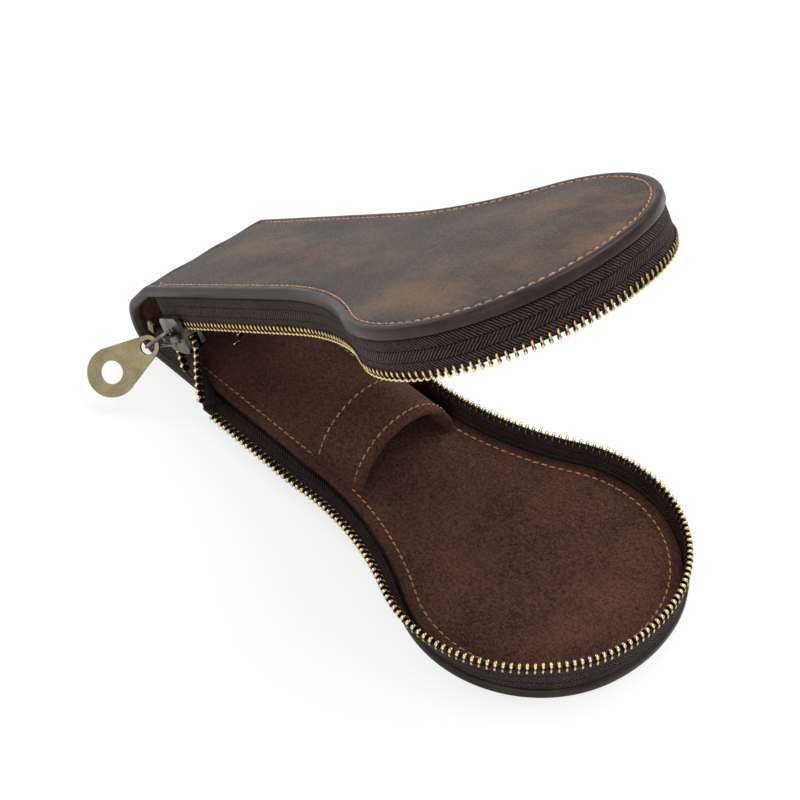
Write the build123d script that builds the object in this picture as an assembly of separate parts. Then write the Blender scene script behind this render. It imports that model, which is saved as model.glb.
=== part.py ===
"""Zipped leather travel case for one wristwatch, lid held open.

Frame: X runs from the hinge axis to the round end, Y runs across the case and Z is up.
The origin is on the table, below the middle of the hinge axis.  The lid is drawn shut and
then turned open about the crease where its outer face meets the spine.  All sizes are in millimetres.
"""
from build123d import *

import math
import os

# ---- outline of both panels ---------------------------------------------------------------
CASE_LENGTH = 151.0        # hinge axis to the tip of the round end
ROUND_WIDTH = 69.4         # widest place of the round end
NECK_WIDTH = 39.5          # straight narrow part
NECK_LENGTH = 62.4         # hinge axis to the end of the straight sides
SWEEP_RADIUS = 80.0        # hollow curve between the neck and the round end
SHOULDER_RADIUS = 32.3     # side arcs of the round end

# ---- layers of one half, counted from its outer face -------------------------------------
HALF_DEPTH = 12.0          # outer face to the plane where the halves meet
LEATHER = 1.6              # outer leather
RIM_HEIGHT = 2.8           # turned and painted edge
RIM_WIDTH = 2.4
EDGE_BREAK = 0.4           # sanded corner of the painted edge
BOARD_GAP = 0.2            # board to rim
TAPE = 0.8                 # woven zip tape
TAPE_INSET = 0.6           # edge of the rim to the outside of the tape
FLANGE = 0.6               # sewn margin of the tape, pressed flat
FLANGE_WIDTH = 5.6
LINING = 0.8               # suede
LINING_GAP = 0.3           # tape to the edge of the lining
PAD_INSET = 7.2            # rim edge to the edge of the padding
PAD = 1.3
PAD_SLOPE = 1.2            # run of the lining's slope over the padding's edge

# ---- opening ------------------------------------------------------------------------------
REST_OPEN = 32.5           # degrees between the halves
SPINE_BEND = 9.5           # outer bend radius of the leather spine

# ---- zip ----------------------------------------------------------------------------------
TOOTH_PITCH = 2.5
TOOTH_THICK = 1.2          # along the row
TOOTH_WIDTH = 2.5          # through the tape
TOOTH_LENGTH = 3.5
TOOTH_TIP_GAP = 0.15       # tip to the plane where the halves meet
TOOTH_HEAD = 1.2           # length of the tapered head
TOOTH_TIP_WIDTH = 1.1
TOOTH_GRIP = 1.7           # depth of the slot that grips the tape
GRIP_GAP = 0.12            # tape to the sides of the slot
CORNER_RADIUS = 2.5        # turn of the tape at the hinge end
CORNER_TURN_IN = 2.0       # straight run of the tape past that turn
FLARE_ANGLE = 64.0         # lean of the lower tape along the near side of the neck
FLARE_FROM = 28.0          # where the leaning starts, from the hinge axis
FLARE_FADE = 85.0          # length past the neck in which the lean fades
FLARE_STEP = 2.4           # largest step between the drawn sections

# ---- slider -------------------------------------------------------------------------------
SLIDER_LENGTH = 9.0
SLIDER_START = 2.8         # hinge axis to the slider's back end, lid shut
PLATE = 1.1
PLATE_GAP = 0.2            # teeth to the inside of the plates
LIP = 0.5                  # turned edge of each plate
LIP_SLOT = 1.3             # slot between the lips, for the tape
LIP_CLEARANCE = 0.15       # lips to the ends of the teeth
WEDGE = 1.0                # height of the wedge at the mouth
WEDGE_LENGTH = 3.6
WEDGE_GAP = 0.1            # wedge to the plane where the halves meet
BACK_TAPER = 1.0           # the back end is this much lower than the mouth
CROWN_LENGTH = 6.4
CROWN_WIDTH = 1.5
CROWN_WINDOW = 1.4
CROWN_BAR = 0.9

# ---- link and pull tab --------------------------------------------------------------------
LINK_WIRE = 0.9
LINK_REACH = 6.6           # bar under the crown to the bar in the tab
LINK_INNER_BAR = 3.8
LINK_OUTER_BAR = 2.6
LINK_TURN = 50.0           # degrees between the link and the slider's plate
TAB = 1.2
TAB_HOLE_PITCH = 11.3      # small hole to large hole
TAB_LARGE_END = 6.3
TAB_SMALL_END = 2.9
TAB_LARGE_HOLE = 2.95
TAB_SMALL_HOLE = 1.9
TAB_HEADING = 46.0         # degrees, turn of the tab's face about Z
TAB_PITCH = 45.7           # degrees, lift of the tab's face
TAB_SWING = 48.0           # degrees between the tab and the lowest place it can hang

# ---- retaining band -----------------------------------------------------------------------
BAND_START = 57.5
BAND_WIDTH = 17.0
BAND = 1.5
BAND_FOOT = 2.6            # tape to the foot of the band
BAND_TOP_GAP = 0.5         # band to the shut lid

# ---- stops --------------------------------------------------------------------------------
STOP_LENGTH = 2.2
STOP_WIDTH = 2.6
STOP_HEIGHT = 3.0
STOP_WALL_GAP = 0.1

# ---- short stretch of the lower tape that lifts to the slider --------------------------------
LIFT_FOOT_BACK = 1.0       # back of its foot, from the hinge axis
LIFT_FOOT_FRONT = 21.0
LIFT_RUN_OUT = 0.8         # straight run past the slider's mouth
LIFT_BULGE = 2.6           # how far its middle leans out
LIFT_TEETH = 6             # teeth between the leaning row and the slider
LIFT_END_SPACE = 0.6       # space past the last of them, in spacings
MOUTH_TEETH = 3            # teeth inside the slider

# ---- worked out ---------------------------------------------------------------------------
CLOSED_DEPTH = 2 * HALF_DEPTH
FLOOR_Z = RIM_HEIGHT + FLANGE + LINING
PAD_TOP_Z = RIM_HEIGHT + PAD
CROWN_Z = PAD_TOP_Z + LINING
ROW_INSET = TAPE_INSET + TAPE / 2
TIP_Z = HALF_DEPTH - TOOTH_TIP_GAP
TOOTH_Z = TIP_Z - TOOTH_LENGTH
TAPE_TOP_Z = TOOTH_Z + TOOTH_GRIP - GRIP_GAP
HINGE = Axis((0, 0, CLOSED_DEPTH), (0, -1, 0))
HALF_NECK = NECK_WIDTH / 2
ROW_Y = -(HALF_NECK - ROW_INSET)

os.makedirs("parts", exist_ok=True)


def save(node, shape):
    """Write one node's solids to its file."""
    export_step(shape, f"parts/{node}.step")


def open_lid(shape):
    """Turn a piece of the shut lid about the hinge axis to where it rests."""
    return shape.rotate(HINGE, REST_OPEN)


def flip(shape):
    """Mirror a piece of the lower half into the upper half, shut."""
    return mirror(shape, about=Plane.XY.offset(HALF_DEPTH))


# ---- outline ------------------------------------------------------------------------------
SHOULDER_Y = ROUND_WIDTH / 2 - SHOULDER_RADIUS
SWEEP_CENTRE = Vector(NECK_LENGTH, HALF_NECK + SWEEP_RADIUS)
SWEEP_ANGLE = math.acos((SWEEP_CENTRE.Y - SHOULDER_Y) / (SWEEP_RADIUS + SHOULDER_RADIUS))
SHOULDER_X = NECK_LENGTH + (SWEEP_RADIUS + SHOULDER_RADIUS) * math.sin(SWEEP_ANGLE)
SHOULDER_CENTRE = Vector(SHOULDER_X, SHOULDER_Y)
END_REACH = CASE_LENGTH - SHOULDER_X
TIP_RADIUS = (END_REACH**2 + SHOULDER_Y**2 - SHOULDER_RADIUS**2) / (2 * (END_REACH - SHOULDER_RADIUS))
TIP_CENTRE = Vector(CASE_LENGTH - TIP_RADIUS, 0)
TIP_ANGLE = math.atan2(SHOULDER_Y, SHOULDER_X - TIP_CENTRE.X)


def polar(centre, radius, angle):
    """A point on a circle."""
    return centre + Vector(math.cos(angle), math.sin(angle)) * radius


def arc(centre, radius, first, last):
    """The arc of a circle between two angles, drawn through its middle."""
    middle = (first + last) / 2
    return ThreePointArc(*(polar(centre, radius, angle) for angle in (first, middle, last)))


def across(point):
    """The same point on the other side of the case."""
    return Vector(point.X, -point.Y)


def half_edges(inset, start_x):
    """Far side of the outline, moved inwards, from the hinge end to the tip."""
    y = HALF_NECK - inset
    sweep = SWEEP_RADIUS + inset
    shoulder = SHOULDER_RADIUS - inset
    tip = TIP_RADIUS - inset
    return [
        Line(Vector(start_x, y), Vector(NECK_LENGTH, y)),
        arc(SWEEP_CENTRE, sweep, -math.pi / 2, -math.pi / 2 + SWEEP_ANGLE),
        arc(SHOULDER_CENTRE, shoulder, math.pi / 2 + SWEEP_ANGLE, TIP_ANGLE),
        arc(TIP_CENTRE, tip, TIP_ANGLE, 0),
    ]


def mirrored(edges):
    """The edges on the near side of the case."""
    return [mirror(edge, about=Plane.XZ) for edge in edges]


def panel_face(inset, start_x, height):
    """The outline moved inwards, as a face at a height."""
    edges = half_edges(inset, start_x)
    y = HALF_NECK - inset
    closing = Line(Vector(start_x, -y), Vector(start_x, y))
    return Pos(0, 0, height) * make_face(edges + mirrored(edges) + [closing])


def panel(inset, start_x, low, high):
    """A flat layer whose edge is the outline moved inwards."""
    return extrude(panel_face(inset, start_x, low), high - low)


# ---- rows: a place along the edge of the near or far side ----------------------------------
def side_lengths(inset):
    """Lengths of the straight, the sweep, the shoulder and the tip arc of one side."""
    return [
        NECK_LENGTH,
        (SWEEP_RADIUS + inset) * SWEEP_ANGLE,
        (SHOULDER_RADIUS - inset) * (math.pi / 2 + SWEEP_ANGLE - TIP_ANGLE),
        (TIP_RADIUS - inset) * TIP_ANGLE,
    ]


def side_place(distance, inset):
    """Point and heading on the far side, a distance along from the hinge axis."""
    straight, sweep, shoulder, _ = side_lengths(inset)
    if distance <= straight:
        return Vector(distance, HALF_NECK - inset), Vector(1, 0)
    distance -= straight
    if distance <= sweep:
        angle = distance / (SWEEP_RADIUS + inset)
        point = polar(SWEEP_CENTRE, SWEEP_RADIUS + inset, angle - math.pi / 2)
        return point, Vector(math.cos(angle), math.sin(angle))
    distance -= sweep
    if distance <= shoulder:
        angle = math.pi / 2 + SWEEP_ANGLE - distance / (SHOULDER_RADIUS - inset)
        point = polar(SHOULDER_CENTRE, SHOULDER_RADIUS - inset, angle)
        return point, Vector(math.sin(angle), -math.cos(angle))
    distance -= shoulder
    angle = TIP_ANGLE - distance / (TIP_RADIUS - inset)
    point = polar(TIP_CENTRE, TIP_RADIUS - inset, angle)
    return point, Vector(math.sin(angle), -math.cos(angle))


ROW_HALF = sum(side_lengths(ROW_INSET))


def row_place(distance):
    """Point and outward normal on the row, from the near hinge end all the way round."""
    if distance <= ROW_HALF:
        point, heading = side_place(distance, ROW_INSET)
        return across(point), Vector(-heading.Y, -heading.X)
    point, heading = side_place(2 * ROW_HALF - distance, ROW_INSET)
    return point, Vector(-heading.Y, heading.X)


def lean(distance):
    """Lean of the lower tape away from upright, in radians."""
    fade = (NECK_LENGTH + FLARE_FADE - distance) / FLARE_FADE
    return math.radians(FLARE_ANGLE) * min(1.0, max(0.0, fade))


def tooth_solid():
    """One tooth: two legs that grip the tape and a tapered head, centred on its thickness."""
    half = TOOTH_WIDTH / 2
    grip = TAPE / 2 + GRIP_GAP
    tip = TOOTH_TIP_WIDTH / 2
    shoulder = TOOTH_LENGTH - TOOTH_HEAD
    right = [(grip, TOOTH_GRIP), (grip, 0), (half, 0), (half, shoulder), (tip, TOOTH_LENGTH)]
    left = [(-x, y) for x, y in reversed(right)]
    face = make_face(Polyline(*right, *left, close=True))
    return extrude(face, TOOTH_THICK / 2, both=True)


TOOTH = tooth_solid()


def tooth_at(foot, normal, up, height):
    """The tooth standing on the tape, its legs a height above the tape's foot."""
    plane = Plane(origin=foot + up * height, x_dir=normal, z_dir=normal.cross(up))
    return plane.location * TOOTH


# ---- leather, board, padding and lining ----------------------------------------------------
def leather_panel():
    """Outer leather with its turned rim and the sanded edge."""
    skin = panel(0, 0, 0, LEATHER)
    rim = panel(0, 0, LEATHER, RIM_HEIGHT) - panel(RIM_WIDTH, -1, LEATHER, RIM_HEIGHT)
    shape = skin + rim
    bottom = shape.faces().sort_by(Axis.Z)[0].edges().filter_by(lambda e: e.center().X > 1)
    return chamfer(bottom, EDGE_BREAK)


def board():
    """Stiffening board inside the rim."""
    return panel(RIM_WIDTH + BOARD_GAP, BOARD_GAP, LEATHER, RIM_HEIGHT)


def padding():
    """Foam pad with a sloped edge, on the board."""
    slope = PAD_INSET + PAD_SLOPE
    foot = panel_face(PAD_INSET, PAD_INSET, RIM_HEIGHT)
    return loft([foot, panel_face(slope, slope, PAD_TOP_Z)], ruled=True)


def lining():
    """Suede panel: flat over the tape's sewn margin, raised over the padding."""
    inset = TAPE_INSET + TAPE + LINING_GAP
    flat = panel(inset, TAPE + LINING_GAP, RIM_HEIGHT + FLANGE, FLOOR_Z)
    corners = flat.edges().filter_by(Axis.Z).filter_by(lambda edge: edge.center().X < NECK_LENGTH / 2)
    flat = fillet(corners, CORNER_RADIUS - TAPE / 2 - LINING_GAP)
    slope = PAD_INSET + PAD_SLOPE
    raised = loft([panel_face(PAD_INSET, PAD_INSET, FLOOR_Z), panel_face(slope, slope, CROWN_Z)], ruled=True)
    return flat + raised - padding()


# ---- zip tapes -----------------------------------------------------------------------------
def margin_ring():
    """Sewn margin of a tape, flat between the rim and the lining."""
    outer = panel(TAPE_INSET, 0, RIM_HEIGHT, RIM_HEIGHT + FLANGE)
    inner = panel(TAPE_INSET + FLANGE_WIDTH, FLANGE_WIDTH, RIM_HEIGHT - 1, RIM_HEIGHT + FLANGE + 1)
    return outer - inner


def wall_edges(inset):
    """Far side of one face of a tape, from its turn at the hinge corner to the tip."""
    radius = CORNER_RADIUS + ROW_INSET - inset
    centre = Vector(CORNER_RADIUS + TAPE / 2, -ROW_Y - CORNER_RADIUS)
    turned_in = Vector(centre.X - radius, centre.Y - CORNER_TURN_IN)
    corner = [
        Line(turned_in, Vector(centre.X - radius, centre.Y)),
        arc(centre, radius, math.pi, math.pi / 2),
    ]
    return corner + half_edges(inset, centre.X)


def far_wall():
    """Upright tape on the far side, from its turn at the hinge corner to the tip."""
    outer = wall_edges(TAPE_INSET)
    inner = wall_edges(TAPE_INSET + TAPE)
    ends = [Line(outer[0] @ 0, inner[0] @ 0), Line(outer[-1] @ 1, inner[-1] @ 1)]
    return extrude(Pos(0, 0, RIM_HEIGHT) * make_face(outer + inner + ends), TAPE_TOP_Z - RIM_HEIGHT)


def wall_frame(distance):
    """Foot of the lower row's tape, the direction across the tape and the one up it."""
    foot, normal = row_place(distance)
    angle = lean(distance)
    up = normal * math.sin(angle) + Vector(0, 0, math.cos(angle))
    side = normal * math.cos(angle) - Vector(0, 0, math.sin(angle))
    return foot + Vector(0, 0, RIM_HEIGHT), side, up


def flare_section(distance):
    """The leaning tape, cut across the row."""
    base, side, up = wall_frame(distance)
    _, normal = row_place(distance)
    top = base + up * (TAPE_TOP_Z - RIM_HEIGHT)
    foot = normal * (TAPE / 2)
    thick = side * (TAPE / 2)
    return make_face(Polyline(base + foot, top + thick, top - thick, base - foot, close=True))


def flare_marks():
    """Places of the drawn sections, from the first to the tip."""
    count = math.ceil((ROW_HALF - NECK_LENGTH) / FLARE_STEP)
    step = (ROW_HALF - NECK_LENGTH) / count
    return [FLARE_FROM] + [NECK_LENGTH + step * i for i in range(count + 1)]


def lower_tape():
    """Lower zip tape: margin, leaning near side and upright far side."""
    leaning = loft([flare_section(place) for place in flare_marks()], ruled=True)
    return margin_ring() + leaning + far_wall()


def upper_tape():
    """Upper zip tape, upright all round, drawn as a lower one and turned over."""
    return flip(margin_ring() + far_wall() + mirror(far_wall(), about=Plane.XZ))


def row_marks(first, last):
    """Places of the teeth of one row, as many as fit at the pitch between two places."""
    count = int((last - first) / TOOTH_PITCH)
    return [first + TOOTH_PITCH * i for i in range(count + 1)]


ROW_FIRST = CORNER_RADIUS + TAPE / 2 + TOOTH_THICK
ROW_LAST = 2 * ROW_HALF - ROW_FIRST - STOP_LENGTH - TOOTH_THICK


def lower_teeth():
    """Teeth of the lower row, past the part that lifts to the slider."""
    teeth = []
    for place in row_marks(ROW_FIRST, ROW_LAST):
        if place > FLARE_FROM + TOOTH_THICK:
            base, side, up = wall_frame(place)
            teeth.append(tooth_at(base, side, up, TOOTH_Z - RIM_HEIGHT))
    return Compound(teeth)


def upper_teeth():
    """Teeth of the upper row, half a pitch along from the lower ones."""
    teeth = []
    for place in row_marks(ROW_FIRST + TOOTH_PITCH / 2, ROW_LAST):
        foot, normal = row_place(place)
        ceiling = foot + Vector(0, 0, CLOSED_DEPTH)
        teeth.append(tooth_at(ceiling, normal, Vector(0, 0, -1), TOOTH_Z))
    return Compound(teeth)


# ---- slider, drawn with the lid shut --------------------------------------------------------
SLIDER_END = SLIDER_START + SLIDER_LENGTH
WEDGE_TOP = HALF_DEPTH - WEDGE_GAP
SLIDER_MIDDLE = WEDGE_TOP - WEDGE / 2
LIP_LOW = CLOSED_DEPTH - TOOTH_Z + LIP_CLEARANCE
SLIDER_TOP = LIP_LOW + LIP
SLIDER_LOW = 2 * SLIDER_MIDDLE - SLIDER_TOP
PLATE_INSIDE = TOOTH_WIDTH / 2 + PLATE_GAP
PLATE_OUTSIDE = PLATE_INSIDE + PLATE


def slider_plate_face():
    """Side view of a plate: level above, tapered below towards the back, with cut corners."""
    cut = 2 * LIP
    points = [
        (SLIDER_START, SLIDER_LOW + BACK_TAPER + cut),
        (SLIDER_START + cut, SLIDER_LOW + BACK_TAPER),
        (SLIDER_END - WEDGE_LENGTH, SLIDER_LOW),
        (SLIDER_END - cut, SLIDER_LOW),
        (SLIDER_END, SLIDER_LOW + cut),
        (SLIDER_END, SLIDER_TOP - cut),
        (SLIDER_END - cut, SLIDER_TOP),
        (SLIDER_START + cut, SLIDER_TOP),
        (SLIDER_START, SLIDER_TOP - cut),
    ]
    return make_face(Polyline(*points, close=True))


def upright(face, low_y, high_y):
    """A face drawn in X and Z, made solid between two places across the row."""
    plane = Plane(origin=(0, ROW_Y + high_y, 0), x_dir=(1, 0, 0), z_dir=(0, -1, 0))
    return extrude(plane * face, high_y - low_y)


def slider_plates():
    """Both plates, their turned lips and the wedge at the mouth that joins them."""
    face = slider_plate_face()
    block = upright(face, -PLATE_OUTSIDE, PLATE_OUTSIDE)
    channel_low = SLIDER_LOW + LIP
    middle_x = (SLIDER_START + SLIDER_END) / 2
    channel = Pos(middle_x, ROW_Y, (channel_low + LIP_LOW) / 2) * Box(
        2 * SLIDER_LENGTH, 2 * PLATE_INSIDE, LIP_LOW - channel_low
    )
    slot = Pos(middle_x, ROW_Y, SLIDER_MIDDLE) * Box(2 * SLIDER_LENGTH, LIP_SLOT, 4 * HALF_DEPTH)
    wedge_face = make_face(
        Polyline(
            (SLIDER_END - WEDGE_LENGTH, SLIDER_MIDDLE),
            (SLIDER_END, WEDGE_TOP),
            (SLIDER_END, WEDGE_TOP - WEDGE),
            close=True,
        )
    )
    return block - channel - slot + upright(wedge_face, -PLATE_OUTSIDE, PLATE_OUTSIDE)


CROWN_X = (SLIDER_START + SLIDER_END) / 2
CROWN_INSIDE = PLATE_OUTSIDE + CROWN_WINDOW


def slider_crown():
    """Bridge on the outer plate that the link passes under."""
    reach = CROWN_WINDOW + CROWN_BAR
    half = CROWN_LENGTH / 2
    profile = [(-half, 0), (-half, reach / 2), (-half + reach / 2, reach)]
    outer = Polyline(*profile, *[(-x, y) for x, y in reversed(profile)], close=True)
    inner = half - CROWN_BAR
    window = [(-inner, 0), (-inner, CROWN_WINDOW / 2), (-inner + CROWN_WINDOW / 2, CROWN_WINDOW)]
    hole = Polyline(*window, *[(-x, y) for x, y in reversed(window)], close=True)
    foot = Vector(CROWN_X, ROW_Y - PLATE_OUTSIDE, SLIDER_MIDDLE)
    plane = Plane(origin=foot, x_dir=(1, 0, 0), z_dir=(0, 0, -1))
    bar = extrude(plane * (make_face(outer) - make_face(hole)), CROWN_WIDTH / 2, both=True)
    return fillet(bar.edges().filter_by(Axis.Z).sort_by(Axis.Y)[:2], CROWN_BAR / 2)


# ---- link and pull tab, placed as they hang with the lid open --------------------------------
def open_point(x, y, z):
    """A point of the shut lid, where it is with the lid open."""
    angle = math.radians(REST_OPEN)
    rise = z - CLOSED_DEPTH
    return Vector(
        x * math.cos(angle) - rise * math.sin(angle),
        y,
        CLOSED_DEPTH + x * math.sin(angle) + rise * math.cos(angle),
    )


LID_UP = Vector(-math.sin(math.radians(REST_OPEN)), 0, math.cos(math.radians(REST_OPEN)))
BAR_Y = ROW_Y - PLATE_OUTSIDE - CROWN_WINDOW / 2
LINK_BACK = LINK_REACH * math.cos(math.radians(LINK_TURN))
LINK_OUT = LINK_REACH * math.sin(math.radians(LINK_TURN))
LINK_BAR = open_point(CROWN_X, BAR_Y, SLIDER_MIDDLE)
TAB_EYE = open_point(CROWN_X - LINK_BACK, BAR_Y - LINK_OUT, SLIDER_MIDDLE)
TAB_FACING = Vector(0, -1, 0).rotate(Axis.X, -TAB_PITCH).rotate(Axis.Z, TAB_HEADING)
LINK_RUN = (TAB_EYE - LINK_BAR).normalized()
TAB_NORMAL = (TAB_FACING - LINK_RUN * TAB_FACING.dot(LINK_RUN)).normalized()
TAB_DOWN = TAB_NORMAL.cross(TAB_NORMAL.cross(Vector(0, 0, 1))).normalized()
TAB_ALONG = TAB_DOWN.rotate(Axis((0, 0, 0), TAB_NORMAL), -TAB_SWING)


def wire_between(start, end):
    """A straight stretch of the link's wire with a round end at its far end."""
    run = end - start
    rod = extrude(Plane(origin=start, z_dir=run) * Circle(LINK_WIRE / 2), run.length)
    return rod + Pos(*end) * Sphere(LINK_WIRE / 2)


def pull_link():
    """Closed loop of wire: one bar under the crown, the other through the tab."""
    inner = LID_UP * (LINK_INNER_BAR / 2)
    outer = TAB_NORMAL * (LINK_OUTER_BAR / 2)
    corners = [LINK_BAR - inner, LINK_BAR + inner, TAB_EYE + outer, TAB_EYE - outer]
    loop = Part()
    for start, end in zip(corners, corners[1:] + corners[:1]):
        loop += wire_between(start, end)
    return loop


def pull_tab():
    """Flat drop-shaped tab with a small eye and a large hole."""
    plane = Plane(origin=TAB_EYE, x_dir=TAB_ALONG, z_dir=TAB_NORMAL)
    ends = Circle(TAB_SMALL_END) + Pos(TAB_HOLE_PITCH, 0) * Circle(TAB_LARGE_END)
    blank = make_hull(ends.edges())
    holes = Circle(TAB_SMALL_HOLE) + Pos(TAB_HOLE_PITCH, 0) * Circle(TAB_LARGE_HOLE)
    return extrude(plane * (blank - holes), TAB / 2, both=True)


# ---- lower tape's end at the slider, drawn with the lid open ---------------------------------
LOWER_EDGE_Z = 2 * SLIDER_MIDDLE - (CLOSED_DEPTH - TAPE_TOP_Z)
LIFT_TOP = open_point(SLIDER_END + LIFT_RUN_OUT, ROW_Y, LOWER_EDGE_Z)
STOP_LOW_Z = HALF_DEPTH - 0.8 * STOP_HEIGHT
STOP_BACK_X = -STOP_LENGTH / 4


def lift_section(share):
    """Foot, top edge and sideways direction of the lifting tape, part of the way to the leaning row."""
    leaning_foot, leaning_side, leaning_up = wall_frame(FLARE_FROM)
    leaning_top = leaning_foot + leaning_up * (TAPE_TOP_Z - RIM_HEIGHT)
    slider_foot = Vector(LIFT_FOOT_FRONT, ROW_Y, RIM_HEIGHT)
    foot = slider_foot + (leaning_foot - slider_foot) * share
    bulge = Vector(0, -LIFT_BULGE, -LIFT_BULGE) * (share * (1 - share))
    top = LIFT_TOP + (leaning_top - LIFT_TOP) * share + bulge
    side = (Vector(0, -1, 0) * (1 - share) + leaning_side * share).normalized()
    return foot, top, side


def lift_face(share):
    """Cut through the lifting tape."""
    foot, top, side = lift_section(share)
    up = (top - foot).normalized()
    thick = side * (TAPE / 2)
    low = (side - up * (side.Z / up.Z)).normalized() * (TAPE / 2)
    return make_face(Polyline(foot + low, top + thick, top - thick, foot - low, close=True))


def lift_plate():
    """Flat part of the tape's end: from the rim up through the slider and back to the stop."""
    back = open_point(SLIDER_START, ROW_Y, LOWER_EDGE_Z)
    stop_x = STOP_BACK_X + STOP_LENGTH / 2
    points = [
        (LIFT_FOOT_BACK, RIM_HEIGHT),
        (LIFT_FOOT_FRONT, RIM_HEIGHT),
        (LIFT_TOP.X, LIFT_TOP.Z),
        (back.X, back.Z),
        (stop_x + STOP_LENGTH / 4, STOP_LOW_Z + TOOTH_GRIP),
        (stop_x - STOP_LENGTH / 4, STOP_LOW_Z + TOOTH_GRIP),
        (stop_x - STOP_LENGTH / 4, STOP_LOW_Z - TOOTH_GRIP),
    ]
    return upright(make_face(Polyline(*points, close=True)), -TAPE / 2, TAPE / 2)


def lift_teeth():
    """Teeth on the lifting edge and in the slider's lower channel."""
    teeth = []
    grip = TOOTH_GRIP - GRIP_GAP
    for index in range(LIFT_TEETH):
        foot, top, side = lift_section((index + 1) / (LIFT_TEETH + LIFT_END_SPACE))
        up = (top - foot).normalized()
        flat = (side - up * side.dot(up)).normalized()
        teeth.append(tooth_at(top - up * grip, flat, up, 0))
    for index in range(MOUTH_TEETH):
        x = SLIDER_END - TOOTH_THICK - TOOTH_PITCH * index
        foot = open_point(x, ROW_Y, LOWER_EDGE_Z - grip)
        teeth.append(tooth_at(foot, Vector(0, -1, 0), LID_UP, 0))
    return Compound(teeth)


def lift_tape():
    """The tape's end, cut clear of the margin under it and of its teeth."""
    shares = [index / 4 for index in range(5)]
    curved = loft([lift_face(share) for share in shares], ruled=True)
    shape = lift_plate() + curved - margin_ring()
    return shape - lift_teeth()


# ---- stops -----------------------------------------------------------------------------------
def stop_block():
    """Pressed stop: a block with a slot for the tape's edge, the slot's mouth downwards."""
    block = Box(STOP_LENGTH, STOP_WIDTH, STOP_HEIGHT, align=(Align.MIN, Align.CENTER, Align.MIN))
    width = TAPE + 2 * STOP_WALL_GAP
    depth = TOOTH_GRIP + STOP_WALL_GAP
    slot = Box(STOP_LENGTH, width, depth, align=(Align.MIN, Align.CENTER, Align.MIN))
    block = chamfer(block.edges().filter_by(Axis.X).group_by(Axis.Z)[-1], STOP_WIDTH / 6)
    return block - slot


def bottom_stop():
    """Stop that joins both rows behind the slider."""
    return Pos(STOP_BACK_X, ROW_Y, STOP_LOW_Z) * stop_block()


def top_stop():
    """Stop at the end of the lower row, at the far hinge corner."""
    return Pos(CORNER_RADIUS + TAPE / 2, -ROW_Y, TAPE_TOP_Z - TOOTH_GRIP) * stop_block()


# ---- spine -------------------------------------------------------------------------------------
def spine_layer(outer, inner, width):
    """A layer bent from the base round to the open lid, between two distances from the outside."""
    low_centre = Vector(0, SPINE_BEND)
    lid_centre = open_point(0, 0, CLOSED_DEPTH - SPINE_BEND)
    high_centre = Vector(lid_centre.X, lid_centre.Z)
    rise = (high_centre - low_centre).normalized()
    start = -math.pi / 2
    middle = math.atan2(rise.X, -rise.Y)
    end = math.pi / 2 + math.radians(REST_OPEN)

    def side(depth):
        radius = SPINE_BEND - depth
        low_turn = middle if middle < 0 else middle - 2 * math.pi
        high_turn = middle if middle > 0 else middle + 2 * math.pi
        low = arc(low_centre, radius, start, low_turn)
        high = arc(high_centre, radius, high_turn, end)
        return [low, Line(low @ 1, high @ 0), high]

    outside = side(outer)
    inside = side(inner)
    ends = [Line(outside[0] @ 0, inside[0] @ 0), Line(outside[2] @ 1, inside[2] @ 1)]
    plane = Plane(origin=(0, width / 2, 0), x_dir=(1, 0, 0), z_dir=(0, -1, 0))
    return extrude(plane * make_face(outside + inside + ends), width)


def spine_leather():
    """Leather of the spine with its turned edges."""
    skin = spine_layer(0, LEATHER, NECK_WIDTH)
    between = spine_layer(0, 2 * RIM_HEIGHT, NECK_WIDTH - 2 * RIM_WIDTH)
    return skin + (spine_layer(LEATHER, RIM_HEIGHT, NECK_WIDTH) - between)


def spine_lining():
    """Lining glued inside the spine, between its turned edges."""
    return spine_layer(LEATHER, LEATHER + LINING, NECK_WIDTH - 2 * RIM_WIDTH - 2 * BOARD_GAP)


# ---- retaining band ------------------------------------------------------------------------------
def retaining_band():
    """Arched suede band across the neck, standing on the lining."""
    foot_y = -ROW_Y - TAPE / 2 - BAND_FOOT
    top_z = CLOSED_DEPTH - CROWN_Z - BAND_TOP_GAP
    rise = top_z - FLOOR_Z
    radius = (foot_y**2 + rise**2) / (2 * rise)
    ring = Circle(radius) - Circle(radius - BAND)
    plane = Plane(origin=(BAND_START, 0, top_z - radius), x_dir=(0, 1, 0), z_dir=(1, 0, 0))
    return split(extrude(plane * ring, BAND_WIDTH), bisect_by=Plane.XY.offset(FLOOR_Z), keep=Keep.TOP)


# ---- nodes ---------------------------------------------------------------------------------------
NODES = {
    "base_leather": leather_panel(),
    "base_board": board(),
    "base_padding": padding(),
    "base_lining": lining(),
    "base_zip_tape": lower_tape(),
    "base_zip_teeth": lower_teeth(),
    "zip_tape_end": lift_tape(),
    "zip_end_teeth": lift_teeth(),
    "bottom_stop": bottom_stop(),
    "base_top_stop": top_stop(),
    "retaining_band": retaining_band(),
    "spine_leather": spine_leather(),
    "spine_lining": spine_lining(),
    "lid_leather": open_lid(flip(leather_panel())),
    "lid_board": open_lid(flip(board())),
    "lid_padding": open_lid(flip(padding())),
    "lid_lining": open_lid(flip(lining())),
    "lid_zip_tape": open_lid(upper_tape()),
    "lid_zip_teeth": open_lid(upper_teeth()),
    "lid_top_stop": open_lid(flip(top_stop())),
    "slider_body": open_lid(slider_plates()),
    "slider_crown": open_lid(slider_crown()),
    "pull_link": pull_link(),
    "pull_tab": pull_tab(),
}

for name, shape in NODES.items():
    save(name, shape)
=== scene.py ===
"""Looks of the zipped leather travel case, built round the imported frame.

Metres, +X to the round end, the slider on the -Y side, +Z up.  Every half is drawn as the lower
half of the shut case and then put in place, so the lid is the same code turned over and opened.
"""

import logging
import math
from dataclasses import dataclass, field
from enum import Enum
from typing import Any, Callable, Iterable, Sequence

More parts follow.
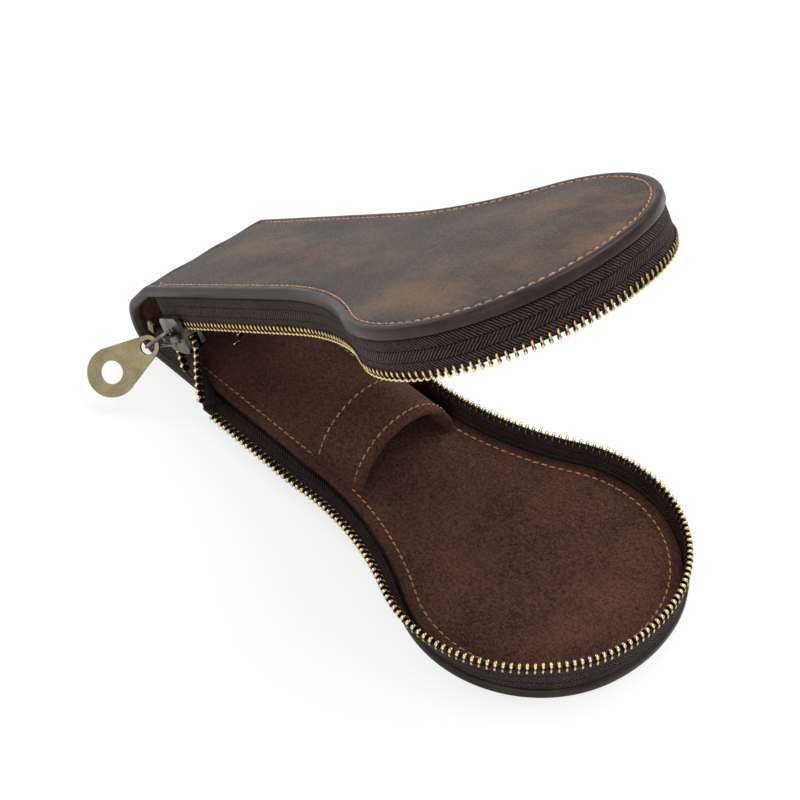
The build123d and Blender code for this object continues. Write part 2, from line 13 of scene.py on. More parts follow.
import bmesh
import bpy
import numpy as np
from mathutils import Matrix, Vector


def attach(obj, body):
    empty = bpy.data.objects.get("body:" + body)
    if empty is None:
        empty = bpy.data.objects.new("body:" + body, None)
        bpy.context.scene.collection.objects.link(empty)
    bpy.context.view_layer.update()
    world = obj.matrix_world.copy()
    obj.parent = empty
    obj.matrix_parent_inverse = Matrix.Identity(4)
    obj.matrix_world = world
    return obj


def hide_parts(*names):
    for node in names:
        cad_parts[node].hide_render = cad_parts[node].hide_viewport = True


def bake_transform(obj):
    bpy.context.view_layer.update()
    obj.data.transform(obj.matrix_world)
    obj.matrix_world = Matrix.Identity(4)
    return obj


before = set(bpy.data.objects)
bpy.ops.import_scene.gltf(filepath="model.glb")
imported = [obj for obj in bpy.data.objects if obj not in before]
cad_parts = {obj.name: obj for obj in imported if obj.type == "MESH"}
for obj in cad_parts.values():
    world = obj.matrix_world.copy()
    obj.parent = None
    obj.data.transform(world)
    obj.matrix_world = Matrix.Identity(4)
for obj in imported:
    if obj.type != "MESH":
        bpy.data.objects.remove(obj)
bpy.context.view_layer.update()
LOG = logging.getLogger("travel_case")
MM = 0.001


# ---- places and outlines -----------------------------------------------------------------------
class Half(Enum):
    """Which half of the case a piece belongs to."""

    BASE = "base"
    LID = "lid"


@dataclass(frozen=True)
class Outline:
    """Keyhole outline of both halves, in metres, and the way the lid stands open."""

    length: float = 151.0 * MM
    round_width: float = 69.4 * MM
    neck_width: float = 39.5 * MM
    neck_length: float = 62.4 * MM
    sweep_radius: float = 80.0 * MM
    shoulder_radius: float = 32.3 * MM
    half_depth: float = 12.0 * MM
    rim_height: float = 2.8 * MM
    row_inset: float = 1.0 * MM
    open_degrees: float = 32.5
    lean_degrees: float = 64.0
    lean_from: float = 28.0 * MM
    lean_fade: float = 85.0 * MM

    @property
    def depth(self) -> float:
        """Depth of the shut case."""
        return 2 * self.half_depth

    def far_side(self, step: float = 1.4 * MM) -> tuple[np.ndarray, np.ndarray]:
        """Walks the far side from the hinge end to the tip.

        Args:
            step: Rough spacing of the stations.

        Returns:
            Points on the outline and outward normals, one row per station.
        """
        half = self.neck_width / 2
        shoulder_y = self.round_width / 2 - self.shoulder_radius
        sweep_y = half + self.sweep_radius
        reach = self.sweep_radius + self.shoulder_radius
        turn = math.acos((sweep_y - shoulder_y) / reach)
        shoulder_x = self.neck_length + reach * math.sin(turn)
        end = self.length - shoulder_x
        tip = (end**2 + shoulder_y**2 - self.shoulder_radius**2) / (2 * (end - self.shoulder_radius))
        tip_x = self.length - tip
        tip_angle = math.atan2(shoulder_y, shoulder_x - tip_x)
        points: list[tuple[float, float]] = []
        normals: list[tuple[float, float]] = []
        for x in np.linspace(0, self.neck_length, round(self.neck_length / step), endpoint=False):
            points.append((x, half))
            normals.append((0.0, 1.0))
        for angle in np.linspace(0, turn, round(self.sweep_radius * turn / step), endpoint=False):
            direction = (-math.sin(angle), math.cos(angle))
            points.append((self.neck_length - self.sweep_radius * direction[0], sweep_y - self.sweep_radius * direction[1]))
            normals.append(direction)
        first = math.pi / 2 + turn
        count = round(self.shoulder_radius * (first - tip_angle) / step)
        for angle in np.linspace(first, tip_angle, count, endpoint=False):
            direction = (math.cos(angle), math.sin(angle))
            points.append((shoulder_x + self.shoulder_radius * direction[0], shoulder_y + self.shoulder_radius * direction[1]))
            normals.append(direction)
        for angle in np.linspace(tip_angle, 0, max(3, round(tip * tip_angle / step) + 2)):
            direction = (math.cos(angle), math.sin(angle))
            points.append((tip_x + tip * direction[0], tip * direction[1]))
            normals.append(direction)
        return np.array(points), np.array(normals)

    def whole_row(self, step: float = 1.4 * MM) -> tuple[np.ndarray, np.ndarray]:
        """Walks the whole outline from the near hinge end round the tip to the far one.

        Args:
            step: Rough spacing of the stations.

        Returns:
            Points and outward normals.
        """
        points, normals = self.far_side(step)
        flip = np.array([1.0, -1.0])
        return np.vstack([points * flip, points[-2::-1]]), np.vstack([normals * flip, normals[-2::-1]])

    def lean(self, distance: float) -> float:
        """Lean of the lower tape, in radians, a distance along the near side."""
        fade = (self.neck_length + self.lean_fade - distance) / self.lean_fade
        return math.radians(self.lean_degrees) * min(1.0, max(0.0, fade))

    def place(self, points: np.ndarray, half: Half) -> np.ndarray:
        """Puts points drawn on the shut lower half where their half stands.

        Args:
            points: Rows of x, y, z.
            half: The half that they belong to.

        Returns:
            The points in the row frame.
        """
        if half is Half.BASE:
            return points
        angle = math.radians(self.open_degrees)
        drop = -points[..., 2]
        x = points[..., 0] * math.cos(angle) - drop * math.sin(angle)
        z = self.depth + points[..., 0] * math.sin(angle) + drop * math.cos(angle)
        return np.stack([x, points[..., 1], z], axis=-1)


OUTLINE = Outline()


def smooth_noise(points: np.ndarray, scale: float, phase: float) -> np.ndarray:
    """A gentle repeatable waviness from a few sines.

    Args:
        points: Rows of x, y, z.
        scale: Length of the longest wave, in metres.
        phase: Shift that keeps two pieces from sharing a pattern.

    Returns:
        One value per row, from about -1 to 1.
    """
    k = 2 * math.pi / scale
    x, y = points[..., 0], points[..., 1]
    value = np.sin(k * (x + 0.6 * y) + phase) + 0.6 * np.sin(k * 1.7 * (y - 0.4 * x) + 2.1 * phase)
    return (value + 0.35 * np.sin(k * 3.1 * (x + 0.2 * y) + 3.7 * phase)) / 1.95


def curve_values(marks: np.ndarray, steps: np.ndarray, rows: np.ndarray) -> np.ndarray:
    """Values at distances on the smooth curve through rows of values.

    Args:
        marks: Distances that are wanted.
        steps: Distances of the rows.
        rows: One row of values per step.

    Returns:
        One row per mark.
    """
    slopes = np.gradient(rows, steps, axis=0)
    index = np.clip(np.searchsorted(steps, marks) - 1, 0, len(steps) - 2)
    span = (steps[index + 1] - steps[index])[:, None]
    t = (marks - steps[index])[:, None] / span
    first, last = rows[index], rows[index + 1]
    blend = (2 * t**3 - 3 * t**2 + 1) * first + (3 * t**2 - 2 * t**3) * last
    return blend + (t**3 - 2 * t**2 + t) * span * slopes[index] + (t**3 - t**2) * span * slopes[index + 1]


# ---- meshes --------------------------------------------------------------------------------------
def mesh_object(name: str, points: np.ndarray, faces: Iterable[Sequence[int]], merge: float = 0.0) -> bpy.types.Object:
    """Makes a smooth shaded object.

    Args:
        name: Name of the object.
        points: Rows of x, y, z.
        faces: Lists of vertex numbers.
        merge: Distance under which vertices are joined, or 0.

    Returns:
        The linked object.
    """
    mesh = bpy.data.meshes.new(name)
    mesh.from_pydata([tuple(map(float, p)) for p in points], [], [tuple(map(int, f)) for f in faces])
    mesh.validate()
    work = bmesh.new()
    work.from_mesh(mesh)
    if merge:
        bmesh.ops.remove_doubles(work, verts=work.verts, dist=merge)
        bmesh.ops.dissolve_degenerate(work, edges=work.edges, dist=merge)
    bmesh.ops.recalc_face_normals(work, faces=work.faces)
    work.to_mesh(mesh)
    work.free()
    mesh.polygons.foreach_set("use_smooth", [True] * len(mesh.polygons))
    thing = bpy.data.objects.new(name, mesh)
    bpy.context.scene.collection.objects.link(thing)
    return thing


def grid_faces(rows: int, columns: int, close_columns: bool = False, first: int = 0) -> list[tuple[int, ...]]:
    """Quads of a grid of vertices.

    Args:
        rows: Number of rows.
        columns: Number of columns.
        close_columns: Whether the last column joins the first.
        first: Number of the first vertex.

    Returns:
        The faces.
    """
    faces = []
    across = columns if close_columns else columns - 1
    for row in range(rows - 1):
        for column in range(across):
            after = (column + 1) % columns
            low, high = first + row * columns, first + (row + 1) * columns
            faces.append((low + column, low + after, high + after, high + column))
    return faces


def grid_object(name: str, grid: np.ndarray, tube: bool = False, merge: float = 0.0, caps: bool = False) -> bpy.types.Object:
    """Makes an object from a grid of points.

    Args:
        name: Name of the object.
        grid: Points as rows, columns, x y z.
        tube: Whether each row is a closed ring.
        merge: Distance under which vertices are joined, or 0.
        caps: Whether the ends of a tube are filled.

    Returns:
        The object.
    """
    rows, columns = grid.shape[:2]
    faces: list[tuple[int, ...]] = grid_faces(rows, columns, tube)
    if caps:
        faces.append(tuple(range(columns)))
        faces.append(tuple(range((rows - 1) * columns, rows * columns)))
    return mesh_object(name, grid.reshape(-1, 3), faces, merge)


def set_values(thing: bpy.types.Object, name: str, values: np.ndarray) -> None:
    """Stores one number per vertex, for a material to read."""
    layer = thing.data.attributes.new(name, "FLOAT", "POINT")
    layer.data.foreach_set("value", np.asarray(values, dtype=np.float32).ravel())


def join(name: str, things: Sequence[bpy.types.Object]) -> bpy.types.Object:
    """Joins objects into the first one and renames it."""
    work = bmesh.new()
    for thing in things:
        work.from_mesh(thing.data)
    mesh = bpy.data.meshes.new(name)
    work.to_mesh(mesh)
    work.free()
    for thing in things:
        bpy.data.objects.remove(thing)
    result = bpy.data.objects.new(name, mesh)
    bpy.context.scene.collection.objects.link(result)
    return result


# ---- materials -------------------------------------------------------------------------------------
class Wire:
    """A node's output with the arithmetic that the finishes use."""

    def __init__(self, tree: "NodeTree", socket: Any) -> None:
        """Keeps the tree and the socket."""
        self.tree = tree
        self.socket = socket

    def _math(self, operation: str, *values: Any) -> "Wire":
        """Adds a Math node on this tree."""
        return self.tree.add("ShaderNodeMath", {"operation": operation}, dict(enumerate(values)))

    def __add__(self, other: Any) -> "Wire":
        """Sum."""
        return self._math("ADD", self, other)

    __radd__ = __add__

    def __mul__(self, other: Any) -> "Wire":
        """Product."""
        return self._math("MULTIPLY", self, other)

    __rmul__ = __mul__

    def __sub__(self, other: Any) -> "Wire":
        """Difference."""
        return self._math("SUBTRACT", self, other)

    def __rsub__(self, other: Any) -> "Wire":
        """Difference from a value."""
        return self._math("SUBTRACT", other, self)

    def __truediv__(self, other: Any) -> "Wire":
        """Quotient."""
        return self._math("DIVIDE", self, other)

    def __pow__(self, other: Any) -> "Wire":
        """Power."""
        return self._math("POWER", self, other)

    def wave(self) -> "Wire":
        """Sine."""
        return self._math("SINE", self)

    def whole(self) -> "Wire":
        """Next lower whole number."""
        return self._math("FLOOR", self)

    def rest(self) -> "Wire":
        """What is left above the next lower whole number."""
        return self._math("FRACT", self)

    def size(self) -> "Wire":
        """Value without its sign."""
        return self._math("ABSOLUTE", self)

    def clipped(self) -> "Wire":
        """Value held between 0 and 1."""
        return self.tree.add("ShaderNodeClamp", {}, {0: self})

    def least(self, other: Any) -> "Wire":
        """The smaller of two values."""
        return self._math("MINIMUM", self, other)

    def above(self, other: Any) -> "Wire":
        """1 where the value is above the other, else 0."""
        return self._math("GREATER_THAN", self, other)


class NodeTree:
    """One material's nodes."""

    def __init__(self, name: str) -> None:
        """Makes an empty material."""
        self.material = bpy.data.materials.new(name)
        self.material.use_nodes = True
        self.nodes = self.material.node_tree.nodes
        self.links = self.material.node_tree.links
        self.nodes.clear()

    def add(self, kind: str, settings: dict[str, Any], inputs: dict[Any, Any], output: Any = 0) -> Wire:
        """Adds any node.

        Args:
            kind: Blender's name of the node type.
            settings: Properties set first; "stops" fills a colour ramp.
            inputs: Values or wires by socket number or name.
            output: Number or name of the output that is wanted.

        Returns:
            The output as a wire.
        """
        node = self.nodes.new(kind)
        for key, value in settings.items():
            if key == "stops":
                self._fill_ramp(node.color_ramp, value)
            else:
                setattr(node, key, value)
        for key, value in inputs.items():
            if isinstance(value, Wire):
                self.links.new(value.socket, node.inputs[key])
            else:
                node.inputs[key].default_value = value
        return Wire(self, node.outputs[output])

    @staticmethod
    def _fill_ramp(ramp: Any, stops: Sequence[tuple[float, Any]]) -> None:
        """Sets a ramp's stops from pairs of a place and a colour."""
        while len(ramp.elements) < len(stops):
            ramp.elements.new(0.5)
        for element, (place, colour) in zip(ramp.elements, stops):
            element.position = place
            element.color = colour

    def place(self, scale: float = 1.0) -> Wire:
        """Object coordinates, multiplied."""
        spot = self.add("ShaderNodeTexCoord", {}, {}, "Object")
        return self.add("ShaderNodeVectorMath", {"operation": "SCALE"}, {0: spot, "Scale": scale})

    def noise(self, size: float, detail: float = 3.0, rough: float = 0.55, stretch: Sequence[float] = (1, 1, 1)) -> Wire:
        """Noise whose features are about a size across.

        Args:
            size: Feature size in metres.
            detail: Number of octaves.
            rough: Weight of the finer octaves.
            stretch: How much finer the noise is along each axis.

        Returns:
            The noise, about 0.3 to 0.7.
        """
        spot = self.add("ShaderNodeMapping", {}, {0: self.place(1 / size), "Scale": tuple(stretch)})
        inputs = {"Vector": spot, "Scale": 1.0, "Detail": detail, "Roughness": rough}
        return self.add("ShaderNodeTexNoise", {}, inputs)

    def cells(self, size: float, feature: str = "DISTANCE_TO_EDGE") -> Wire:
        """Distances in a pattern of cells of a size."""
        return self.add("ShaderNodeTexVoronoi", {"feature": feature}, {"Vector": self.place(1 / size), "Scale": 1.0})

    def value(self, name: str) -> Wire:
        """A number stored on the vertices."""
        return self.add("ShaderNodeAttribute", {"attribute_name": name}, {}, "Fac")

    def ramp(self, wire: Wire, *stops: tuple[float, Any]) -> Wire:
        """Colour ramp over a value."""
        return self.add("ShaderNodeValToRGB", {"stops": stops}, {0: wire})

    def spread(self, wire: Wire, low: float, high: float, to_low: float = 0.0, to_high: float = 1.0) -> Wire:
        """Stretches a range of values to another one and holds it there."""
        return self.add("ShaderNodeMapRange", {"clamp": True}, {0: wire, 1: low, 2: high, 3: to_low, 4: to_high})

    def mix(self, factor: Any, first: Any, second: Any) -> Wire:
        """Mixes two colours."""
        node = self.nodes.new("ShaderNodeMix")
        node.data_type = "RGBA"
        for key, value in ((0, factor), (6, first), (7, second)):
            if isinstance(value, Wire):
                self.links.new(value.socket, node.inputs[key])
            else:
                node.inputs[key].default_value = value
        return Wire(self, node.outputs[2])

    def bump(self, height: Wire, depth: float, strength: float = 1.0) -> Wire:
        """Normal from a height.

        Args:
            height: Height from 0 to 1.
            depth: Depth of a height of 1, in metres.
            strength: How strongly it shows.

        Returns:
            The bent normal.
        """
        return self.add("ShaderNodeBump", {}, {"Strength": strength, "Distance": depth, "Height": height}, "Normal")

    def finish(self, **inputs: Any) -> bpy.types.Material:
        """Adds the surface shader and the output.

        Args:
            inputs: The shader's sockets, with underscores for spaces.

        Returns:
            The material.
        """
        surface = self.add("ShaderNodeBsdfPrincipled", {}, {key.replace("_", " "): value for key, value in inputs.items()})
        self.output(surface)
        return self.material

    def output(self, surface: Wire) -> None:
        """Connects the surface to the material's output."""
        node = self.nodes.new("ShaderNodeOutputMaterial")
        self.links.new(surface.socket, node.inputs["Surface"])


def srgb(red: float, green: float, blue: float) -> tuple[float, float, float, float]:
    """A colour as a screen shows it, 0 to 255, in the linear values that shaders take."""
    def linear(value: float) -> float:
        share = value / 255
        return share / 12.92 if share <= 0.04045 else ((share + 0.055) / 1.055) ** 2.4

    return linear(red), linear(green), linear(blue), 1.0


def grey(value: float) -> tuple[float, float, float, float]:
    """A grey ramp stop."""
    return value, value, value, 1.0


@dataclass(frozen=True)
class OiledLeather:
    """Waxed pull-up leather: dark, cloudy, lighter where it was bent, with a fine grain."""

    dark: tuple = srgb(44, 35, 30)
    middle: tuple = srgb(67, 55, 49)
    light: tuple = srgb(94, 79, 69)
    amber: tuple = srgb(118, 84, 54)
    pore: tuple = srgb(24, 18, 15)
    roughness: float = 0.58

    def make(self, name: str) -> bpy.types.Material:
        """Builds the material.

        Args:
            name: Name of the material.

        Returns:
            The material.
        """
        tree = NodeTree(name)
        cloud = tree.noise(26 * MM, 4, 0.6)
        drag = tree.noise(9 * MM, 3, 0.6, (0.35, 1.0, 0.6))
        colour = tree.ramp(cloud * 0.65 + drag * 0.35, (0.34, self.dark), (0.5, self.middle), (0.68, self.light))
        amber = tree.spread(tree.noise(34 * MM, 3, 0.5, (0.55, 1.2, 0.8)), 0.48, 0.66) * tree.spread(drag, 0.4, 0.6)
        colour = tree.mix(amber * 0.62, colour, self.amber)
        crease = tree.spread(tree.cells(15 * MM), 0.0, 0.035, 1.0, 0.0) * tree.spread(tree.noise(30 * MM, 2), 0.52, 0.62)
        scratch = tree.spread(tree.noise(1.4 * MM, 2, 0.5, (0.06, 1.2, 1.0)), 0.66, 0.72) * tree.spread(cloud, 0.5, 0.6)
        colour = tree.mix((crease * 0.35 + scratch * 0.3).clipped(), colour, self.light)
        grain = tree.spread(tree.cells(0.85 * MM), 0.0, 0.25)
        speck = tree.noise(0.75 * MM, 3, 0.75)
        colour = tree.mix(tree.spread(speck, 0.52, 0.64) * 0.45, colour, self.pore)
        colour = tree.mix(tree.spread(speck, 0.46, 0.36) * 0.22, colour, self.light)
        pore = tree.noise(0.35 * MM, 2, 0.6)
        height = grain * 0.5 + pore * 0.3 + tree.noise(7 * MM, 3) * 0.9 - crease * 0.5
        rough = tree.spread(cloud * 0.6 + grain * 0.2, 0.25, 0.6, self.roughness - 0.08, self.roughness + 0.12)
        return tree.finish(Base_Color=colour, Roughness=rough, Normal=tree.bump(height, 0.16 * MM, 1.0), Specular_IOR_Level=0.2)


@dataclass(frozen=True)
class EdgePaint:
    """Smooth painted edge of the leather rim."""

    colour: tuple = srgb(34, 23, 21)
    wear_and_light: tuple = srgb(56, 41, 36)

    def make(self, name: str) -> bpy.types.Material:
        """Builds the material under a name and returns it."""
        tree = NodeTree(name)
        patch = tree.noise(6 * MM, 4, 0.6)
        colour = tree.ramp(patch, (0.4, self.colour), (0.68, self.wear_and_light))
        height = tree.noise(1.2 * MM, 3) + tree.noise(5 * MM, 2) * 0.8
        rough = tree.spread(patch, 0.35, 0.65, 0.36, 0.52)
        return tree.finish(Base_Color=colour, Roughness=rough, Normal=tree.bump(height, 0.1 * MM, 0.6), Specular_IOR_Level=0.24)


@dataclass(frozen=True)
class Suede:
    """Brushed nap with darker and lighter strokes."""

    dark: tuple = srgb(30, 17, 14)
    light: tuple = srgb(95, 62, 53)

    def make(self, name: str) -> bpy.types.Material:
        """Builds the material under a name and returns it."""
        tree = NodeTree(name)
        stroke = tree.noise(16 * MM, 4, 0.6, (1.0, 0.8, 1.0))
        fibre = tree.noise(0.42 * MM, 2, 0.8)
        speck = tree.noise(0.8 * MM, 3, 0.8)
        tone = stroke * 0.2 + speck * 0.4 + fibre * 0.4
        colour = tree.ramp(tone, (0.4, self.dark), (0.6, self.light))
        height = fibre * 0.7 + speck * 0.5
        inputs = {"Sheen_Weight": 0.25, "Sheen_Roughness": 0.5, "Sheen_Tint": srgb(150, 110, 92), "Specular_IOR_Level": 0.15}
        return tree.finish(Base_Color=colour, Roughness=0.92, Normal=tree.bump(height, 0.25 * MM, 0.8), **inputs)


@dataclass(frozen=True)
class HerringboneTape:
    """Woven zip tape: rows of slanting yarns that turn at each rib, with painted shade in the hollows and a painted
    highlight on the yarn crowns.
    """

    # The dark colour is painted shade in the weave's hollows and rib seams; the light one is a painted highlight on the
    # yarn crowns.
    dark: tuple = srgb(9, 5, 6)
    light: tuple = srgb(103, 81, 78)
    rib: float = 2.5 * MM
    yarn: float = 0.8 * MM

    def make(self, name: str) -> bpy.types.Material:
        """Builds the material under a name and returns it."""
        tree = NodeTree(name)
        along, up = tree.value("along"), tree.value("up")
        ribs = up / self.rib
        turned = (ribs * 0.5).rest().above(0.5) * 2 - 1
        slant = (along + turned * (up - ribs.whole() * self.rib)) / self.yarn + tree.noise(1.6 * MM, 2) * 0.9
        thread = (slant * (2 * math.pi)).wave() * 0.42 + 0.46
        seam = tree.spread((ribs.rest() - 0.5).size(), 0.4, 0.5)
        height = thread * (1 - seam * 0.7)
        fuzz = tree.noise(0.5 * MM, 2, 0.7)
        tone = height * 0.5 + fuzz * 0.6 + tree.noise(12 * MM, 2) * 0.2
        # Colour follows the yarn height: painted shade in the hollows and along the rib seams, painted highlight on the
        # crowns; the fuzz and broad noise are the cloth's own tone.
        colour = tree.ramp(tone, (0.5, self.dark), (1.18, self.light))
        normal = tree.bump(height + fuzz * 0.3, 0.35 * MM, 1.0)
        return tree.finish(Base_Color=colour, Roughness=0.78, Normal=normal, Specular_IOR_Level=0.14)


@dataclass(frozen=True)
class ToothBrass:
    """Brass teeth: painted shade on the faces between the teeth and at their foot, a painted highlight on the heads and
    legs.
    """

    # The bright colour is a painted highlight on the heads; the darkest one is painted shade between the teeth and at
    # their foot.
    bright: tuple = srgb(232, 212, 158)
    warm: tuple = srgb(170, 142, 88)
    film_and_shade: tuple = srgb(46, 34, 20)

    def make(self, name: str) -> bpy.types.Material:
        """Builds the material under a name and returns it."""
        tree = NodeTree(name)
        patch = tree.noise(1.3 * MM, 3, 0.6)
        # The stored value is painted light: low on the faces between teeth and at the foot as painted shade, high on
        # the heads as a painted highlight; the patch noise is the brass's own tone.
        wear_and_light = tree.value("wear_and_light") + (patch - 0.5) * 0.7
        colour = tree.ramp(wear_and_light, (0.12, self.film_and_shade), (0.5, self.warm), (0.85, self.bright))
        rough = tree.spread(wear_and_light, 0.1, 0.9, 0.48, 0.24)
        return tree.finish(Base_Color=colour, Metallic=1.0, Roughness=rough, Normal=tree.bump(patch, 0.03 * MM, 0.5))


@dataclass(frozen=True)
class AgedBrass:
    """Brass with a brown film and long brushed strokes, or cast when it has no strokes."""

    bright: tuple = srgb(164, 154, 120)
    film_and_shade: tuple = srgb(116, 105, 76)
    roughness: float = 0.34
    brushed: bool = True

    def make(self, name: str) -> bpy.types.Material:
        """Builds the material under a name and returns it."""
        tree = NodeTree(name)
        patch = tree.noise(5 * MM, 4, 0.6)
        if self.brushed:
            place = tree.add("ShaderNodeCombineXYZ", {}, {0: tree.value("along") * 260, 1: tree.value("across") * 9000})
            stroke = tree.add("ShaderNodeTexNoise", {}, {"Vector": place, "Scale": 1.0, "Detail": 3.0, "Roughness": 0.6})
        else:
            stroke = tree.noise(0.6 * MM, 3, 0.6)
        colour = tree.ramp(patch * 0.45 + stroke * 0.55, (0.36, self.film_and_shade), (0.6, self.bright))
        rough = tree.spread(stroke * 0.6 + patch * 0.4, 0.35, 0.65, self.roughness + 0.1, self.roughness - 0.06)
        return tree.finish(Base_Color=colour, Metallic=1.0, Roughness=rough, Normal=tree.bump(stroke, 0.012 * MM, 0.5))


@dataclass(frozen=True)
class DarkSteel:
    """Dark drawn wire and cast slider."""

    dark: tuple = srgb(84, 80, 74)
    light: tuple = srgb(126, 120, 110)

    def make(self, name: str) -> bpy.types.Material:
        """Builds the material under a name and returns it."""
        tree = NodeTree(name)
        patch = tree.noise(3 * MM, 3, 0.5)
        colour = tree.ramp(patch, (0.38, self.dark), (0.64, self.light))
        fine = tree.noise(0.3 * MM, 2)
        rough = tree.spread(fine, 0.35, 0.65, 0.26, 0.4)
        return tree.finish(Base_Color=colour, Metallic=1.0, Roughness=rough, Normal=tree.bump(fine, 0.006 * MM, 0.5))


@dataclass(frozen=True)
class WaxedThread:
    """Twisted copper brown thread."""

    dark: tuple = srgb(100, 70, 54)
    light: tuple = srgb(192, 150, 124)

    def make(self, name: str) -> bpy.types.Material:
        """Builds the material under a name and returns it."""
        tree = NodeTree(name)
        twist = tree.noise(0.35 * MM, 2, 0.6, (1.0, 0.6, 1.0))
        colour = tree.ramp(twist, (0.35, self.dark), (0.62, self.light))
        return tree.finish(Base_Color=colour, Roughness=0.62, Normal=tree.bump(twist, 0.06 * MM, 0.7))


@dataclass(frozen=True)
class PlainCore:
    """Hidden board or foam: a fibrous or cellular core."""

    dark: tuple = srgb(120, 104, 84)
    light: tuple = srgb(160, 146, 122)
    cell: float = 1.0 * MM

    def make(self, name: str) -> bpy.types.Material:
        """Builds the material under a name and returns it."""
        tree = NodeTree(name)
        fibre = tree.noise(self.cell, 4, 0.65)
        colour = tree.ramp(fibre, (0.38, self.dark), (0.62, self.light))
        return tree.finish(Base_Color=colour, Roughness=0.85, Normal=tree.bump(fibre, 0.1 * MM, 0.6))


@dataclass
class Finishes:
    """All materials of the case."""

    leather: bpy.types.Material = field(init=False)
    edge: bpy.types.Material = field(init=False)
    suede: bpy.types.Material = field(init=False)
    tape: bpy.types.Material = field(init=False)
    teeth: bpy.types.Material = field(init=False)
    stops: bpy.types.Material = field(init=False)
    tab: bpy.types.Material = field(init=False)
    steel: bpy.types.Material = field(init=False)
    thread: bpy.types.Material = field(init=False)
    lining_thread: bpy.types.Material = field(init=False)
    board: bpy.types.Material = field(init=False)
    foam: bpy.types.Material = field(init=False)

    def __post_init__(self) -> None:
        """Builds every finish once."""
        self.leather = OiledLeather().make("oiled_leather")
        self.edge = EdgePaint().make("edge_paint")
        self.suede = Suede().make("suede")
        self.tape = HerringboneTape().make("herringbone_tape")
        self.teeth = ToothBrass().make("teeth_brass")
        self.stops = AgedBrass(bright=srgb(150, 130, 88), film_and_shade=srgb(64, 50, 30), brushed=False).make("stop_brass")
        self.tab = AgedBrass().make("tab_brass")
        self.steel = DarkSteel().make("dark_steel")
        self.thread = WaxedThread().make("waxed_thread")
        self.lining_thread = WaxedThread(dark=srgb(96, 58, 40), light=srgb(200, 142, 104)).make("lining_thread")
        self.board = PlainCore().make("fibre_board")
        self.foam = PlainCore(dark=srgb(176, 172, 160), light=srgb(206, 202, 190), cell=0.5 * MM).make("foam_core")


def dress(thing: bpy.types.Object, *materials: bpy.types.Material) -> None:
    """Gives an object its materials."""
    thing.data.materials.clear()
    for material in materials:
        thing.data.materials.append(material)


# ---- stitches ----------------------------------------------------------------------------------------
@dataclass(frozen=True)
class StitchRow:
    """A row of short threads that lie half sunk in the surface."""

    pitch: float = 2.1 * MM
    stitch: float = 1.62 * MM
    thickness: float = 0.43 * MM
    slant: float = 0.12
    sides: int = 6

    def build(self, name: str, path: np.ndarray, normals: np.ndarray) -> bpy.types.Object:
        """Lays stitches along a path.

        Args:
            name: Name of the object.
            path: Points along the row.
            normals: Outward surface normals at those points.

        Returns:
            One object with all the stitches.
        """
        gaps = np.linalg.norm(np.diff(path, axis=0), axis=1)
        distance = np.concatenate([[0], np.cumsum(gaps)])
        count = int(distance[-1] / self.pitch)
        marks = (np.arange(count) + 0.5) * distance[-1] / count
        centres = np.stack([np.interp(marks, distance, path[:, i]) for i in range(3)], axis=1)
        ahead = np.stack([np.interp(marks + 0.4 * MM, distance, path[:, i]) for i in range(3)], axis=1)
        behind = np.stack([np.interp(marks - 0.4 * MM, distance, path[:, i]) for i in range(3)], axis=1)
        ups = np.stack([np.interp(marks, distance, normals[:, i]) for i in range(3)], axis=1)
        points: list[np.ndarray] = []
        faces: list[tuple[int, ...]] = []
        profile = [(-0.5, 0.25, -0.55), (-0.42, 0.8, -0.05), (-0.2, 1.0, 0.18), (0.2, 1.0, 0.18), (0.42, 0.8, -0.05), (0.5, 0.25, -0.55)]
        for centre, tangent, up in zip(centres, ahead - behind, ups):
            along = tangent / np.linalg.norm(tangent)
            up = up - along * (up @ along)
            up = up / np.linalg.norm(up)
            side = np.cross(up, along)
            along = along * math.cos(self.slant) + side * math.sin(self.slant)
            side = np.cross(up, along)
            first = len(points)
            for share, width, rise in profile:
                middle = centre + along * (share * self.stitch) + up * (rise * self.thickness)
                for turn in np.linspace(0, 2 * math.pi, self.sides, endpoint=False):
                    reach = self.thickness / 2 * width
                    points.append(middle + side * (reach * math.cos(turn)) + up * (reach * math.sin(turn)))
            faces += grid_faces(len(profile), self.sides, True, first)
            faces.append(tuple(range(first, first + self.sides)))
            last = first + (len(profile) - 1) * self.sides
            faces.append(tuple(range(last, last + self.sides)))
        return mesh_object(name, np.array(points), faces)


